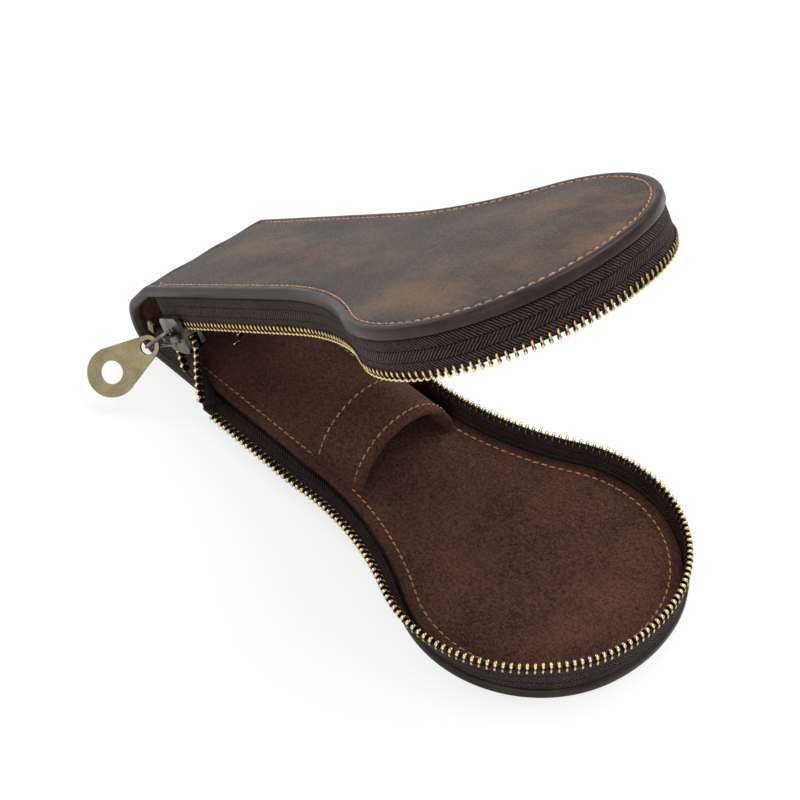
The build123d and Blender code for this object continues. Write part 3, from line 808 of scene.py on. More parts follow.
# ---- panels --------------------------------------------------------------------------------------------
@dataclass(frozen=True)
class PanelShape:
    """A flat piece with a profile round its edge, drawn on the shut lower half.

    Each profile point is an inset from the outline and a height.  The last one goes on to the
    middle, which is raised by the crown.
    """

    profile: tuple[tuple[float, float], ...]
    crown: float = 0.0
    start_x: float = 0.0
    columns: int = 22
    waviness: float = 0.0
    phase: float = 1.0
    run_up: float = 13 * MM

    @staticmethod
    def edge_distance(spots: np.ndarray) -> np.ndarray:
        """Distance of points from the outline or the hinge end, whichever is nearer."""
        outline, _ = OUTLINE.whole_row()
        gaps = np.linalg.norm(spots[..., None, :] - outline, axis=-1)
        return np.minimum(gaps.min(axis=-1), spots[..., 0])

    def grid(self) -> np.ndarray:
        """Points of the panel as stations, columns, x y z."""
        points, normals = OUTLINE.far_side()
        insets = np.array([inset for inset, _ in self.profile])
        heights = np.array([height for _, height in self.profile])
        far = points[:, None, :] - normals[:, None, :] * insets[None, :, None]
        far[..., 1] = np.maximum(far[..., 1], 0.0)
        inner = far[:, -1, :]
        shares = np.linspace(-1, 1, self.columns + 2)[1:-1]
        middle = np.stack([np.repeat(inner[:, :1], len(shares), axis=1), inner[:, 1:] * shares[None, :]], axis=-1)
        within = np.clip((self.edge_distance(middle) - insets[-1]) / self.run_up, 0, 1)
        rise = heights[-1] + self.crown * within**2 * (3 - 2 * within)
        near = far * np.array([1.0, -1.0])
        level = np.broadcast_to(heights, far.shape[:2])
        flat = np.concatenate([near, middle, far[:, ::-1]], axis=1)
        z = np.concatenate([level, rise, level[:, ::-1]], axis=1)
        grid = np.concatenate([flat, z[..., None]], axis=-1)
        grid[..., 0] = self.start_x + grid[..., 0] * (OUTLINE.length - self.start_x) / OUTLINE.length
        if self.waviness:
            weight = np.clip((z - z.min()) / max(1e-9, z.max() - z.min()), 0, 1)
            grid[..., 2] += self.waviness * smooth_noise(grid, 38 * MM, self.phase) * weight
        return grid

    def build(self, name: str) -> bpy.types.Object:
        """Makes the panel where it lies in the shut lower half.

        Args:
            name: Name of the object.

        Returns:
            The object.
        """
        return grid_object(name, self.grid(), merge=0.02 * MM)


def put_in_place(thing: bpy.types.Object, half: Half) -> None:
    """Moves a mesh from the shut lower half to where its half stands."""
    points = np.array([vertex.co for vertex in thing.data.vertices])
    thing.data.vertices.foreach_set("co", OUTLINE.place(points, half).astype(np.float32).ravel())
    if half is Half.LID:
        thing.data.flip_normals()
    thing.data.update()


def inner_loop(inset: float, height: float, start_x: float, close: bool = True) -> tuple[np.ndarray, np.ndarray]:
    """A path round a panel for a row of stitches.

    Args:
        inset: Distance from the outline.
        height: Height of the path.
        start_x: Place of its straight end at the hinge.
        close: Whether the path runs along that end too.

    Returns:
        Points and outward edge normals, both as x, y, z.
    """
    points, normals = OUTLINE.whole_row(1.0 * MM)
    path = points - normals * inset
    keep = path[:, 0] > start_x
    path = path[keep]
    if close:
        ends = np.linspace(path[-1], path[0], 24)[1:]
        ends[:, 0] = start_x
        path = np.vstack([path, ends])
    return np.column_stack([path, np.full(len(path), height)]), path


def stitch_loop(name: str, half: Half, inset: float, height: float, start_x: float, outside: bool, close: bool) -> bpy.types.Object:
    """A row of stitches round a panel.

    Args:
        name: Name of the object.
        half: The half that it belongs to.
        inset: Distance from the outline.
        height: Height on the shut lower half.
        start_x: Place of its straight end.
        outside: True on the leather's outer face, False on the lining.
        close: Whether it runs along the hinge end too.

    Returns:
        The object.
    """
    path, _ = inner_loop(inset, height, start_x, close)
    up = np.zeros_like(path)
    up[:, 2] = -1.0 if outside else 1.0
    placed = OUTLINE.place(path, half)
    normals = OUTLINE.place(path + up * MM, half) - placed
    return StitchRow().build(name, placed, normals / MM)


@dataclass
class CasePanel:
    """One half's leather, lining and stitches."""

    half: Half
    finishes: Finishes
    stitch_inset: float = 2.35 * MM
    lining_inset: float = 1.7 * MM
    lining_stitch_inset: float = 4.6 * MM
    painted: float = 1.7 * MM

    def leather_profile(self) -> tuple[tuple[float, float], ...]:
        """Profile from the inside of the rim, over its edge and on to the outer face."""
        rim = OUTLINE.rim_height / MM
        pairs = [(2.4, rim - 0.1), (2.2, rim), (0.6, rim), (0.2, rim - 0.2), (0.0, rim - 0.6), (0.0, 0.85), (0.1, 0.5),
                 (0.3, 0.22), (0.6, 0.06), (1.0, 0.0), (1.5, 0.02), (1.85, 0.12), (2.1, 0.28), (2.35, 0.33), (2.6, 0.28),
                 (2.9, 0.12), (3.4, 0.03), (4.4, 0.0), (7.5, 0.0)]
        return tuple((inset * MM, height * MM) for inset, height in pairs)

    def lining_profile(self) -> tuple[tuple[float, float], ...]:
        """Profile from the foot of the lining's edge to the foot of its raised middle."""
        pairs = [(1.7, 3.4), (1.7, 3.95), (1.85, 4.15), (2.2, 4.22), (3.6, 4.2), (4.2, 4.08), (4.6, 3.98), (5.0, 4.08),
                 (5.6, 4.22), (6.6, 4.34), (7.6, 4.6), (8.8, 4.8), (10.4, 4.88)]
        return tuple((inset * MM, height * MM) for inset, height in pairs)

    def build_leather(self) -> None:
        """Outer leather with its rim and the sewn row."""
        name = f"{self.half.value}_leather_skin"
        bulge = -0.7 * MM if self.half is Half.LID else 0.0
        phase = 1.3 if self.half is Half.LID else 2.9
        skin = PanelShape(self.leather_profile(), crown=bulge, phase=phase).build(name)
        dress(skin, self.finishes.leather, self.finishes.edge)
        self.paint_rim(skin)
        put_in_place(skin, self.half)
        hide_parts(f"{self.half.value}_leather")
        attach(skin, self.half.value)
        height = 0.26 * MM
        row = stitch_loop(f"{self.half.value}_leather_stitches", self.half, self.stitch_inset, height, 3.4 * MM, True, True)
        dress(row, self.finishes.thread)
        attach(row, self.half.value)
        LOG.info("%s leather and its stitches", self.half.value)

    def paint_rim(self, skin: bpy.types.Object) -> None:
        """Gives the rim's sides and the rolled band outside the stitches the edge paint."""
        centres = np.array([face.center for face in skin.data.polygons])
        outline, _ = OUTLINE.whole_row()
        gaps = np.linalg.norm(centres[:, None, :2] - outline, axis=-1).min(axis=-1)
        for face, gap, centre in zip(skin.data.polygons, gaps, centres):
            face.material_index = 1 if gap < self.painted or centre[2] > 0.5 * MM else 0

    def build_lining(self) -> None:
        """Suede lining and its sewn row."""
        name = f"{self.half.value}_lining_suede"
        phase = 0.7 if self.half is Half.BASE else 4.1
        puff = 0.34 * MM if self.half is Half.BASE else 0.08 * MM
        shape = PanelShape(self.lining_profile(), crown=puff, start_x=1.1 * MM, waviness=0.08 * MM, phase=phase)
        suede = shape.build(name)
        put_in_place(suede, self.half)
        dress(suede, self.finishes.suede)
        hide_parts(f"{self.half.value}_lining")
        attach(suede, self.half.value)
        row = stitch_loop(f"{self.half.value}_lining_stitches", self.half, self.lining_stitch_inset, 4.03 * MM, 5.6 * MM, False, True)
        dress(row, self.finishes.lining_thread)
        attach(row, self.half.value)
        LOG.info("%s lining and its stitches", self.half.value)


# ---- tapes -----------------------------------------------------------------------------------------------
@dataclass
class ZipTape:
    """Woven tape of one row, with the thick edge that the teeth grip."""

    half: Half
    finishes: Finishes
    thickness: float = 0.8 * MM
    top: float = 10.4 * MM
    corner: float = 2.5 * MM
    turned_in: float = 2.0 * MM
    levels: int = 9

    def section(self) -> list[tuple[float, float]]:
        """Offsets across the tape and shares up it, as a closed ring from the outer foot."""
        half = self.thickness / 2
        ups = np.linspace(0, 1, self.levels)
        outer = [(half * (1 + 0.18 * math.sin(math.pi * u)), float(u)) for u in ups]
        inner = [(-half, float(u)) for u in ups[::-1]]
        return outer + [(half * 0.6, 1.02), (-half * 0.6, 1.02)] + inner

    def path(self) -> tuple[np.ndarray, np.ndarray, np.ndarray]:
        """Stations of the tape: feet, outward normals and leans."""
        points, normals = OUTLINE.whole_row(1.0 * MM)
        feet = points - normals * OUTLINE.row_inset
        steps = np.concatenate([[0], np.cumsum(np.linalg.norm(np.diff(feet, axis=0), axis=1))])
        near = feet[:, 1] < 0
        lower = self.half is Half.BASE
        leans = np.array([OUTLINE.lean(d) if lower and n else 0.0 for d, n in zip(steps, near)])
        start = OUTLINE.lean_from if lower else self.corner + self.thickness / 2
        keep = ~(near & (feet[:, 0] < start)) & ~(~near & (feet[:, 0] < self.corner + self.thickness / 2))
        feet, normals, leans = feet[keep], normals[keep], leans[keep]
        far_turn, far_normals = self.turn(1.0)
        parts = [(feet, normals), (far_turn, far_normals)]
        if not lower:
            near_turn, near_normals = self.turn(-1.0)
            parts.insert(0, (near_turn[::-1], near_normals[::-1]))
            leans = np.concatenate([np.zeros(len(near_turn)), leans])
        leans = np.concatenate([leans, np.zeros(len(far_turn))])
        return np.vstack([p for p, _ in parts]), np.vstack([n for _, n in parts]), leans

    def turn(self, side: float) -> tuple[np.ndarray, np.ndarray]:
        """The tape's turn at a hinge corner, from the row inwards."""
        row_y = OUTLINE.neck_width / 2 - OUTLINE.row_inset
        centre = np.array([self.corner + self.thickness / 2, row_y - self.corner])
        angles = np.linspace(math.pi / 2, math.pi, 9)[1:]
        normals = np.stack([np.cos(angles), np.sin(angles)], axis=1)
        points = centre + normals * self.corner
        straight = points[-1] + np.array([[0.0, -0.5], [0.0, -1.0]]) * self.turned_in
        points = np.vstack([points, straight])
        normals = np.vstack([normals, [[-1.0, 0.0], [-1.0, 0.0]]])
        return points * np.array([1.0, side]), normals * np.array([1.0, side])

    def build(self) -> None:
        """Makes the tape with its weave coordinates."""
        feet, normals, leans = self.path()
        base = np.column_stack([feet, np.full(len(feet), OUTLINE.rim_height)])
        outward = np.column_stack([normals, np.zeros(len(feet))])
        upright = np.array([0.0, 0.0, 1.0])
        up = outward * np.sin(leans)[:, None] + upright * np.cos(leans)[:, None]
        side = outward * np.cos(leans)[:, None] - upright * np.sin(leans)[:, None]
        ring = self.section()
        height = self.top - OUTLINE.rim_height
        steps = np.concatenate([[0], np.cumsum(np.linalg.norm(np.diff(feet, axis=0), axis=1))])
        wave = 0.1 * MM * np.sin(steps * 2 * math.pi / (17 * MM))
        rows = [base + side * (across + 0.0) + up * (share * height) + side * (wave * math.sin(math.pi * min(share, 1.0)))[:, None]
                for across, share in ring]
        grid = np.stack(rows, axis=1)
        tape = grid_object(f"{self.half.value}_tape_cloth", OUTLINE.place(grid, self.half), tube=True, caps=True)
        set_values(tape, "along", np.repeat(steps, len(ring)))
        set_values(tape, "up", np.tile([share * height for _, share in ring], len(feet)))
        dress(tape, self.finishes.tape)
        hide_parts(f"{self.half.value}_zip_tape")
        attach(tape, self.half.value)
        LOG.info("%s tape", self.half.value)


# ---- spine ---------------------------------------------------------------------------------------------------
@dataclass
class Spine:
    """Leather and lining bent from the base round to the lid."""

    finishes: Finishes
    bend: float = 9.5 * MM
    leather: float = 1.6 * MM
    lining: float = 0.8 * MM
    rim_width: float = 2.4 * MM
    steps: int = 40

    def line(self, depth: float) -> tuple[np.ndarray, np.ndarray]:
        """The bent line at a depth below the outer face, and its outward directions, in X and Z."""
        angle = math.radians(OUTLINE.open_degrees)
        low = np.array([0.0, self.bend])
        high = np.array([self.bend * math.sin(angle), OUTLINE.depth - self.bend * math.cos(angle)])
        rise = (high - low) / np.linalg.norm(high - low)
        turn = np.array([-rise[1], rise[0]])
        straight = math.atan2(turn[1], turn[0])
        straight = straight if straight < 0 else straight - 2 * math.pi
        first = -math.pi / 2
        last = -2 * math.pi + math.pi / 2 + angle
        low_turns = np.linspace(first, straight, self.steps // 2)
        high_turns = np.linspace(straight, last, self.steps // 2)
        radius = self.bend - depth
        directions = np.concatenate([low_turns, high_turns])
        outs = np.stack([np.cos(directions), np.sin(directions)], axis=1)
        centres = np.vstack([np.repeat(low[None], len(low_turns), axis=0), np.repeat(high[None], len(high_turns), axis=0)])
        return centres + outs * radius, outs

    def build(self) -> None:
        """Makes the leather, its edges and the lining."""
        half = OUTLINE.neck_width / 2
        rim = OUTLINE.rim_height
        profile = [(-half + self.rim_width, rim), (-half + 0.5 * MM, rim), (-half, rim - 0.5 * MM), (-half, 0.7 * MM),
                   (-half + 0.25 * MM, 0.2 * MM), (-half + 0.9 * MM, 0.0)]
        edge = profile + [(y, 0.0) for y in np.linspace(-half + 3 * MM, half - 3 * MM, 24)] + [(-y, d) for y, d in profile[::-1]]
        edge += [(half - self.rim_width, self.leather), (-half + self.rim_width, self.leather)]
        columns = []
        for y, depth in edge:
            line, outs = self.line(depth)
            ripple = 0.12 * MM * math.sin(y * 2 * math.pi / (13 * MM)) if depth == 0.0 else 0.0
            columns.append(np.column_stack([line[:, 0] + outs[:, 0] * ripple, np.full(len(line), y), line[:, 1] + outs[:, 1] * ripple]))
        grid = np.stack(columns, axis=1)
        skin = grid_object("spine_skin", grid, tube=True, caps=True, merge=0.005 * MM)
        dress(skin, self.finishes.leather, self.finishes.edge)
        for face in skin.data.polygons:
            face.material_index = 1 if abs(face.center.y) > half - 0.6 * MM else 0
        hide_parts("spine_leather")
        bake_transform(skin)
        wide = half - self.rim_width - 0.2 * MM
        ring = [(y, self.leather) for y in np.linspace(-wide, wide, 14)] + [(y, self.leather + self.lining) for y in np.linspace(wide, -wide, 14)]
        columns = []
        for y, depth in ring:
            line, _ = self.line(depth)
            columns.append(np.column_stack([line[:, 0], np.full(len(line), y), line[:, 1]]))
        lining = grid_object("spine_suede", np.stack(columns, axis=1), tube=True, caps=True, merge=0.005 * MM)
        dress(lining, self.finishes.suede)
        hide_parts("spine_lining")
        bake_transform(lining)
        LOG.info("spine leather and lining")


# ---- the lower tape's lifted end ---------------------------------------------------------------------------------
@dataclass
class TapeEnd:
    """Short end of the lower tape that lifts from the leaning row into the slider."""

    finishes: Finishes
    thickness: float = 0.8 * MM
    levels: int = 9
    foot_front: float = 21.0 * MM
    foot_back: float = 1.0 * MM
    bulge: float = 2.6 * MM

    def lid_point(self, x: float, y: float, z: float) -> np.ndarray:
        """A point of the shut case's lid where it stands open."""
        return OUTLINE.place(np.array([x, y, OUTLINE.depth - z]), Half.LID)

    def build(self) -> None:
        """Makes the cloth."""
        row_y = -(OUTLINE.neck_width / 2 - OUTLINE.row_inset)
        rim = OUTLINE.rim_height
        lean = math.radians(OUTLINE.lean_degrees)
        reach = 7.13 * MM
        lean_foot = np.array([OUTLINE.lean_from, row_y, rim])
        lean_top = lean_foot + np.array([0.0, -math.sin(lean), math.cos(lean)]) * reach
        edge = 8.73 * MM
        mouth = self.lid_point(12.6 * MM, row_y, edge)
        back = self.lid_point(2.8 * MM, row_y, edge)
        stop = np.array([0.2 * MM, row_y, 11.0 * MM])
        tops: list[np.ndarray] = []
        feet: list[np.ndarray] = []
        for share in np.linspace(1, 0, 16):
            sag = np.array([0.0, -self.bulge, -self.bulge]) * share * (1 - share)
            tops.append(mouth + (lean_top - mouth) * share + sag)
            feet.append(np.array([self.foot_front + (OUTLINE.lean_from - self.foot_front) * share, row_y, rim]))
        for share in np.linspace(0, 1, 8)[1:]:
            tops.append(mouth + (back - mouth) * share)
            feet.append(np.array([self.foot_front + (6.0 * MM - self.foot_front) * share, row_y, rim]))
        for share in np.linspace(0, 1, 6)[1:]:
            tops.append(back + (stop - back) * share)
            feet.append(np.array([6.0 * MM + (self.foot_back - 6.0 * MM) * share, row_y, rim]))
        foot, top = np.array(feet), np.array(tops)
        ups = np.linspace(0, 1, self.levels)
        ring = [(0.5, u) for u in ups] + [(0.3, 1.01), (-0.3, 1.01)] + [(-0.5, u) for u in ups[::-1]]
        rise = top - foot
        ahead = np.gradient(top, axis=0)
        sides = np.cross(ahead, rise)
        sides /= np.linalg.norm(sides, axis=1)[:, None]
        sides[sides[:, 1] > 0] *= -1
        rows = [foot + rise * min(share, 1.0) + sides * (across * self.thickness) for across, share in ring]
        grid = np.stack(rows, axis=1)
        cloth = grid_object("tape_end_cloth", grid, tube=True, caps=True)
        steps = np.concatenate([[0], np.cumsum(np.linalg.norm(np.diff(top, axis=0), axis=1))])
        set_values(cloth, "along", np.repeat(steps, len(ring)))
        lengths = np.linalg.norm(rise, axis=1)
        set_values(cloth, "up", (lengths[:, None] * np.array([u for _, u in ring])[None, :]).ravel())
        dress(cloth, self.finishes.tape)
        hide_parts("zip_tape_end")
        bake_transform(cloth)
        LOG.info("lifted end of the lower tape")


# ---- retaining band ------------------------------------------------------------------------------------------------
@dataclass
class RetainingBand:
    """Arched suede band across the neck, with a sewn row near each edge."""

    finishes: Finishes
    start_x: float = 57.5 * MM
    width: float = 17.0 * MM
    thickness: float = 1.5 * MM
    foot_y: float = 15.75 * MM
    floor: float = 4.2 * MM
    top: float = 18.6 * MM
    steps: int = 46

    def arch(self, depth: float) -> tuple[np.ndarray, np.ndarray]:
        """The arch at a depth below its outer face, and its outward directions, in Y and Z."""
        rise = self.top - self.floor
        radius = (self.foot_y**2 + rise**2) / (2 * rise)
        centre = self.top - radius
        reach = math.atan2(self.foot_y, self.floor - centre)
        turns = np.linspace(-reach, reach, self.steps)
        outs = np.stack([np.sin(turns), np.cos(turns)], axis=1)
        line = outs * (radius - depth) + np.array([0.0, centre])
        line[:, 1] = np.maximum(line[:, 1], self.floor - 0.2 * MM)
        return line, outs

    def build(self) -> None:
        """Makes the band and its stitches."""
        half = self.width / 2
        middle_x = self.start_x + half
        edge = 0.45 * MM
        top = [(x, 0.0) for x in np.linspace(-half + edge, half - edge, 18)]
        ring = top + [(half, edge), (half, self.thickness - edge)]
        ring += [(x, self.thickness) for x in np.linspace(half - edge, -half + edge, 18)] + [(-half, self.thickness - edge), (-half, edge)]
        columns = []
        for x, depth in ring:
            line, outs = self.arch(depth)
            share = np.linspace(-1, 1, len(line))
            swell = 0.35 * MM * (1 - (x / half) ** 2) * (1 - share**2) - 0.3 * MM * (1 - share**2)
            spread = 1 + 0.03 * share**2
            columns.append(np.column_stack([middle_x + x * spread, line[:, 0] + outs[:, 0] * swell, line[:, 1] + outs[:, 1] * swell]))
        band = grid_object("retaining_band_suede", np.stack(columns, axis=1), tube=True, caps=True)
        dress(band, self.finishes.suede)
        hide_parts("retaining_band")
        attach(band, "base")
        for label, x in (("neck", -half + 2.4 * MM), ("round", half - 2.4 * MM)):
            line, outs = self.arch(0.0)
            share = np.linspace(-1, 1, len(line))
            swell = 0.35 * MM * (1 - (x / half) ** 2) * (1 - share**2) - 0.3 * MM * (1 - share**2)
            path = np.column_stack([middle_x + x * (1 + 0.03 * share**2), line[:, 0] + outs[:, 0] * swell, line[:, 1] + outs[:, 1] * swell])
            normals = np.column_stack([np.zeros(len(line)), outs])
            row = StitchRow().build(f"band_stitches_{label}", path[2:-2], normals[2:-2])
            dress(row, self.finishes.lining_thread)
            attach(row, "base")
        LOG.info("retaining band and its stitches")


# ---- metal --------------------------------------------------------------------------------------------------------------
def soften(thing: bpy.types.Object, width: float, segments: int = 2) -> None:
    """Rounds an object's sharp edges with a bevel."""
    bevel = thing.modifiers.new("rounded", "BEVEL")
    bevel.width = width
    bevel.segments = segments
    bevel.limit_method = "ANGLE"
    bevel.angle_limit = math.radians(35)
    bevel.harden_normals = False


@dataclass(frozen=True)
class ToothForm:
    """One tooth: legs over the tape, a neck and a rounded head.

    Each ring is a height, a half width across the tape, a half thickness along it and how bright
    the brass there is painted: high values are a painted highlight, low ones painted shade.
    """

    # The last number of each ring is painted light: the foot and neck darker as painted shade, the head lighter as a
    # painted highlight.
    rings: tuple[tuple[float, float, float, float], ...] = (
        (-0.8, 0.6, 0.2, 0.1), (-0.68, 0.84, 0.3, 0.6), (-0.35, 0.95, 0.35, 0.9), (0.1, 0.96, 0.35, 0.9),
        (0.42, 0.84, 0.33, 0.65), (0.66, 0.68, 0.31, 0.4), (0.88, 0.62, 0.33, 0.6), (1.14, 0.7, 0.4, 1.05),
        (1.42, 0.68, 0.4, 1.15), (1.63, 0.5, 0.32, 1.15), (1.74, 0.2, 0.15, 1.0))
    corners: int = 12
    squareness: float = 3.2
    # Painted shade on the faces that look along the row towards the neighbouring teeth.
    side_shade: float = 1.1

    def points(self) -> tuple[np.ndarray, np.ndarray]:
        """Local points as along, side, up, and the painted light and shade of each."""
        turns = np.linspace(0, 2 * math.pi, self.corners, endpoint=False)
        share = 2 / self.squareness
        along = np.sign(np.cos(turns)) * np.abs(np.cos(turns)) ** share
        side = np.sign(np.sin(turns)) * np.abs(np.sin(turns)) ** share
        rows, painted_light = [], []
        for up, width, thick, wear_and_light in self.rings:
            rows.append(np.column_stack([along * thick, side * width, np.full(self.corners, up)]))
            # Painted shade on the faces towards the neighbouring teeth, weaker on the head.
            film_and_shade = self.side_shade * (1 - side**4) * (1 if up < 1.4 else 0.35)
            painted_light.append(wear_and_light - film_and_shade)
        return np.vstack(rows) * MM, np.concatenate(painted_light)

    def faces(self, first: int) -> list[tuple[int, ...]]:
        """Faces of a tooth whose first point has a number."""
        faces: list[tuple[int, ...]] = grid_faces(len(self.rings), self.corners, True, first)
        last = first + (len(self.rings) - 1) * self.corners
        return faces + [tuple(range(first, first + self.corners)), tuple(range(last, last + self.corners))]


@dataclass
class ToothRow:
    """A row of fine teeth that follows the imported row's places and leans."""

    node: str
    finishes: Finishes
    pitch: float = 1.68 * MM
    form: ToothForm = field(default_factory=ToothForm)

    def islands(self) -> list[np.ndarray]:
        """Points of each packed tooth."""
        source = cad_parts[self.node]
        work = bmesh.new()
        work.from_mesh(source.data)
        work.transform(source.matrix_world)
        bmesh.ops.remove_doubles(work, verts=work.verts, dist=0.001 * MM)
        left = set(work.verts)
        groups = []
        while left:
            queue = [left.pop()]
            group = []
            while queue:
                vertex = queue.pop()
                group.append(tuple(vertex.co))
                for edge in vertex.link_edges:
                    other = edge.other_vert(vertex)
                    if other in left:
                        left.remove(other)
                        queue.append(other)
            groups.append(np.array(group))
        work.free()
        return groups

    @staticmethod
    def stance(points: np.ndarray) -> tuple[np.ndarray, np.ndarray, np.ndarray]:
        """Middle, side and up directions of one packed tooth."""
        middle = points.mean(axis=0)
        _, axes = np.linalg.eigh(np.cov((points - middle).T))
        reach = [np.ptp(points @ axes[:, i]) for i in range(3)]
        order = np.argsort(reach)
        up, side = axes[:, order[2]], axes[:, order[1]]
        heights, widths = (points - middle) @ up, np.abs((points - middle) @ side)
        if widths[heights > 0].mean() > widths[heights < 0].mean():
            up = -up
        heights = points @ up
        middle = middle + up * ((heights.max() + heights.min()) / 2 - middle @ up)
        return middle, side, up

    def stations(self) -> tuple[np.ndarray, np.ndarray, np.ndarray]:
        """Middles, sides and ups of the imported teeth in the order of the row."""
        stances = [self.stance(group) for group in self.islands()]
        middles = np.array([stance[0] for stance in stances])
        gaps = np.linalg.norm(middles[:, None] - middles[None], axis=-1)
        near = (gaps < 3.9 * MM).sum(axis=1)
        order = [int(np.argmin(near))]
        left = set(range(len(stances))) - set(order)
        while left:
            nearest = min(left, key=lambda i: gaps[order[-1], i])
            order.append(nearest)
            left.remove(nearest)
        ups = np.array([stances[i][2] for i in order])
        sides = [stances[order[0]][1]]
        for i in order[1:]:
            side = stances[i][1]
            sides.append(side if side @ sides[-1] > 0 else -side)
        return middles[order], np.array(sides), ups

    def build(self, name: str, lead: tuple | None = None, trail: tuple | None = None) -> bpy.types.Object:
        """Makes the row.

        Args:
            name: Name of the object.
            lead: Stations of the row that this one goes on from.
            trail: Stations of the row that goes on from this one.

        Returns:
            The object, not yet on a body.
        """
        own = self.stations()
        rows = list(own)
        if lead:
            flip = 1 if lead[1][-1] @ own[1][0] > 0 else -1
            rows = [np.vstack([lead[0], rows[0]]), np.vstack([lead[1] * flip, rows[1]]), np.vstack([lead[2], rows[2]])]
        if trail:
            flip = 1 if trail[1][0] @ own[1][-1] > 0 else -1
            rows = [np.vstack([rows[0], trail[0]]), np.vstack([rows[1], trail[1] * flip]), np.vstack([rows[2], trail[2]])]
        steps = np.concatenate([[0], np.cumsum(np.linalg.norm(np.diff(rows[0], axis=0), axis=1))])
        skip = len(lead[0]) if lead else 0
        start = (steps[skip - 1] + steps[skip]) / 2 if lead else 0.0
        last = skip + len(own[0]) - 1
        end = (steps[last] + steps[last + 1]) / 2 if trail else steps[last]
        if lead:
            marks = np.arange(start + self.pitch / 2, end, self.pitch)
        elif trail:
            marks = np.arange(end - self.pitch / 2, start, -self.pitch)
        else:
            marks = np.linspace(start, end, round((end - start) / self.pitch) + 1)
        spread = [curve_values(marks, steps, row) for row in rows]
        local, painted_light = self.form.points()
        points: list[np.ndarray] = []
        faces: list[tuple[int, ...]] = []
        for count, (middle, side, up) in enumerate(zip(*spread)):
            up = up / np.linalg.norm(up)
            side = side - up * (side @ up)
            side = side / np.linalg.norm(side)
            along = np.cross(side, up)
            points.append(middle + local @ np.array([along, side, up]))
            faces += self.form.faces(count * len(local))
        row = mesh_object(name, np.vstack(points), faces)
        # Stores the painted highlight and painted shade of every tooth for the brass material.
        set_values(row, "wear_and_light", np.tile(painted_light, len(marks)))
        dress(row, self.finishes.teeth)
        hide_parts(self.node)
        LOG.info("%s drawn as %d teeth", self.node, len(marks))
        return row


@dataclass
class Metalwork:
    """Teeth, stops, slider, link and tab."""

    finishes: Finishes
    tab_along: tuple[float, float, float] = (-0.348, -0.7958, -0.4955)
    tab_normal: tuple[float, float, float] = (0.4269, -0.6051, 0.6720)

    def build_teeth(self) -> None:
        """Both rows and the lifted end."""
        lid = ToothRow("lid_zip_teeth", self.finishes)
        base = ToothRow("base_zip_teeth", self.finishes)
        end = ToothRow("zip_end_teeth", self.finishes)
        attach(lid.build("lid_teeth"), "lid")
        lead = tuple(rows[-4:] for rows in end.stations())
        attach(base.build("base_teeth", lead=lead), "base")
        trail = tuple(rows[:4] for rows in base.stations())
        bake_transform(end.build("end_teeth", trail=trail))

    def build_tab(self) -> None:
        """Tab with rounded edges and brushed strokes along it."""
        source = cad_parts["pull_tab"]
        mesh = source.data.copy()
        mesh.transform(source.matrix_world)
        tab = bpy.data.objects.new("tab_brushed", mesh)
        bpy.context.scene.collection.objects.link(tab)
        places = np.array([vertex.co for vertex in mesh.vertices])
        along = np.array(self.tab_along)
        across = np.cross(np.array(self.tab_normal), along)
        set_values(tab, "along", places @ along)
        set_values(tab, "across", places @ across)
        dress(tab, self.finishes.tab)
        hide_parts("pull_tab")
        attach(tab, "tab")
        soften(tab, 0.34 * MM, 3)
        LOG.info("pull tab")

    def build(self) -> None:
        """Makes the teeth and the tab and dresses the other metal and the cores."""
        self.build_teeth()
        self.build_tab()
        looks = {
            "bottom_stop": (self.finishes.stops, 0.2 * MM),
            "base_top_stop": (self.finishes.stops, 0.2 * MM),
            "lid_top_stop": (self.finishes.stops, 0.2 * MM),
            "slider_body": (self.finishes.steel, 0.2 * MM),
            "slider_crown": (self.finishes.steel, 0.2 * MM),
            "pull_link": (self.finishes.steel, 0.0),
            "base_board": (self.finishes.board, 0.0),
            "lid_board": (self.finishes.board, 0.0),
            "base_padding": (self.finishes.foam, 0.0),
            "lid_padding": (self.finishes.foam, 0.0),
        }
        for node, (material, width) in looks.items():
            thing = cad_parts[node]
            dress(thing, material)
            if width:
                soften(thing, width)
            LOG.info("%s dressed", node)


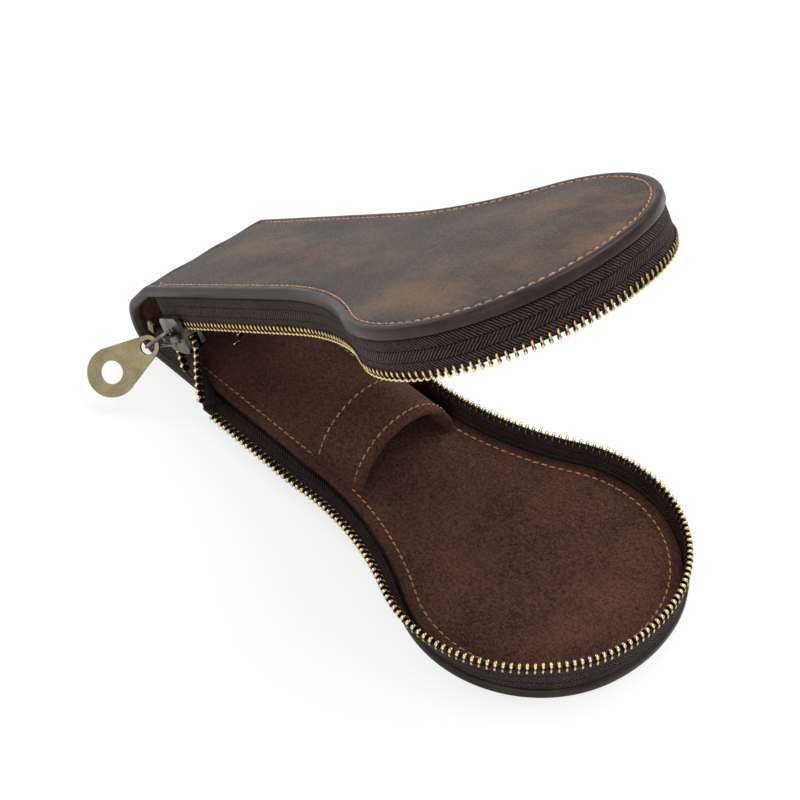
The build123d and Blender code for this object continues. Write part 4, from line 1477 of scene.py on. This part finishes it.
# ---- studio ---------------------------------------------------------------------------------------------------------------
@dataclass(frozen=True)
class Studio:
    """Camera, lamps, floor and the white surround."""

    azimuth: float = 46.391
    elevation: float = 45.625
    distance: float = 425.192 * MM
    target: tuple[float, float, float] = (55.287 * MM, 15.645 * MM, 0.0)
    lens: float = 1678.28 / 800 * 36
    floor_glow: float = 0.75

    def camera(self) -> None:
        """Puts the camera where the photograph was taken from."""
        data = bpy.data.cameras.new("camera")
        data.sensor_width = 36
        data.lens = self.lens
        data.clip_start = 0.01
        data.clip_end = 20
        thing = bpy.data.objects.new("camera", data)
        bpy.context.scene.collection.objects.link(thing)
        a, e = math.radians(self.azimuth), math.radians(self.elevation)
        back = Vector((math.sin(a) * math.cos(e), -math.cos(a) * math.cos(e), math.sin(e)))
        thing.location = Vector(self.target) + back * self.distance
        thing.rotation_euler = back.to_track_quat("Z", "Y").to_euler()
        bpy.context.scene.camera = thing

    def lamp(self, name: str, place: tuple[float, float, float], size: float, power: float) -> None:
        """Adds a square lamp that faces the case."""
        data = bpy.data.lights.new(name, "AREA")
        data.size = size
        data.energy = power
        thing = bpy.data.objects.new(name, data)
        bpy.context.scene.collection.objects.link(thing)
        thing.location = place
        away = Vector(place) - Vector((0.07, 0.0, 0.02))
        thing.rotation_euler = away.to_track_quat("Z", "Y").to_euler()

    def world(self) -> None:
        """A soft pale surround that the camera sees as white."""
        world = bpy.data.worlds.new("surround")
        bpy.context.scene.world = world
        world.use_nodes = True
        nodes, links = world.node_tree.nodes, world.node_tree.links
        nodes.clear()
        rays = nodes.new("ShaderNodeLightPath")
        soft = nodes.new("ShaderNodeBackground")
        soft.inputs[0].default_value = (1, 1, 1, 1)
        soft.inputs[1].default_value = 0.5
        white = nodes.new("ShaderNodeBackground")
        white.inputs[0].default_value = (1, 1, 1, 1)
        white.inputs[1].default_value = 1.0
        either = nodes.new("ShaderNodeMath")
        either.operation = "MAXIMUM"
        mixed = nodes.new("ShaderNodeMixShader")
        out = nodes.new("ShaderNodeOutputWorld")
        links.new(rays.outputs["Is Camera Ray"], either.inputs[0])
        links.new(rays.outputs["Is Transmission Ray"], either.inputs[1])
        links.new(either.outputs[0], mixed.inputs[0])
        links.new(soft.outputs[0], mixed.inputs[1])
        links.new(white.outputs[0], mixed.inputs[2])
        links.new(mixed.outputs[0], out.inputs[0])

    def floor(self) -> None:
        """A white floor that takes the case's soft shadow."""
        side = 3.0
        points = np.array([[-side, -side, 0.0], [side, -side, 0.0], [side, side, 0.0], [-side, side, 0.0]])
        thing = mesh_object("floor", points, [(0, 1, 2, 3)])
        tree = NodeTree("floor_white")
        paper = tree.noise(40 * MM, 2)
        colour = tree.ramp(paper, (0.0, grey(0.95)), (1.0, grey(0.97)))
        diffuse = tree.add("ShaderNodeBsdfDiffuse", {}, {"Color": colour})
        glow = tree.add("ShaderNodeEmission", {}, {"Color": grey(1.0), "Strength": 1.0})
        seen = tree.add("ShaderNodeLightPath", {}, {}, "Is Camera Ray")
        reach = tree.add("ShaderNodeVectorMath", {"operation": "LENGTH"}, {0: tree.place()}, "Value")
        share = tree.spread(reach, 0.16, 0.5, self.floor_glow, 1.0)
        tree.output(tree.add("ShaderNodeMixShader", {}, {0: seen * share, 1: diffuse, 2: glow}))
        dress(thing, tree.material)

    def build(self) -> None:
        """Sets up the whole studio."""
        self.camera()
        self.world()
        self.floor()
        self.lamp("top_lamp", (0.1, 0.35, 0.75), 0.6, 5.5)
        self.lamp("left_lamp", (-0.6, -0.2, 0.5), 0.5, 2.6)
        self.lamp("front_lamp", (0.5, -0.6, 0.45), 0.5, 2.2)
        bpy.context.scene.view_settings.view_transform = "Standard"


def main() -> None:
    """Builds every piece in order."""
    logging.basicConfig(level=logging.INFO, format="%(message)s")
    Studio().build()
    finishes = Finishes()
    for half in Half:
        panel = CasePanel(half, finishes)
        panel.build_leather()
        panel.build_lining()
        ZipTape(half, finishes).build()
    Spine(finishes).build()
    TapeEnd(finishes).build()
    RetainingBand(finishes).build()
    Metalwork(finishes).build()


if __name__ == "__main__":
    main()
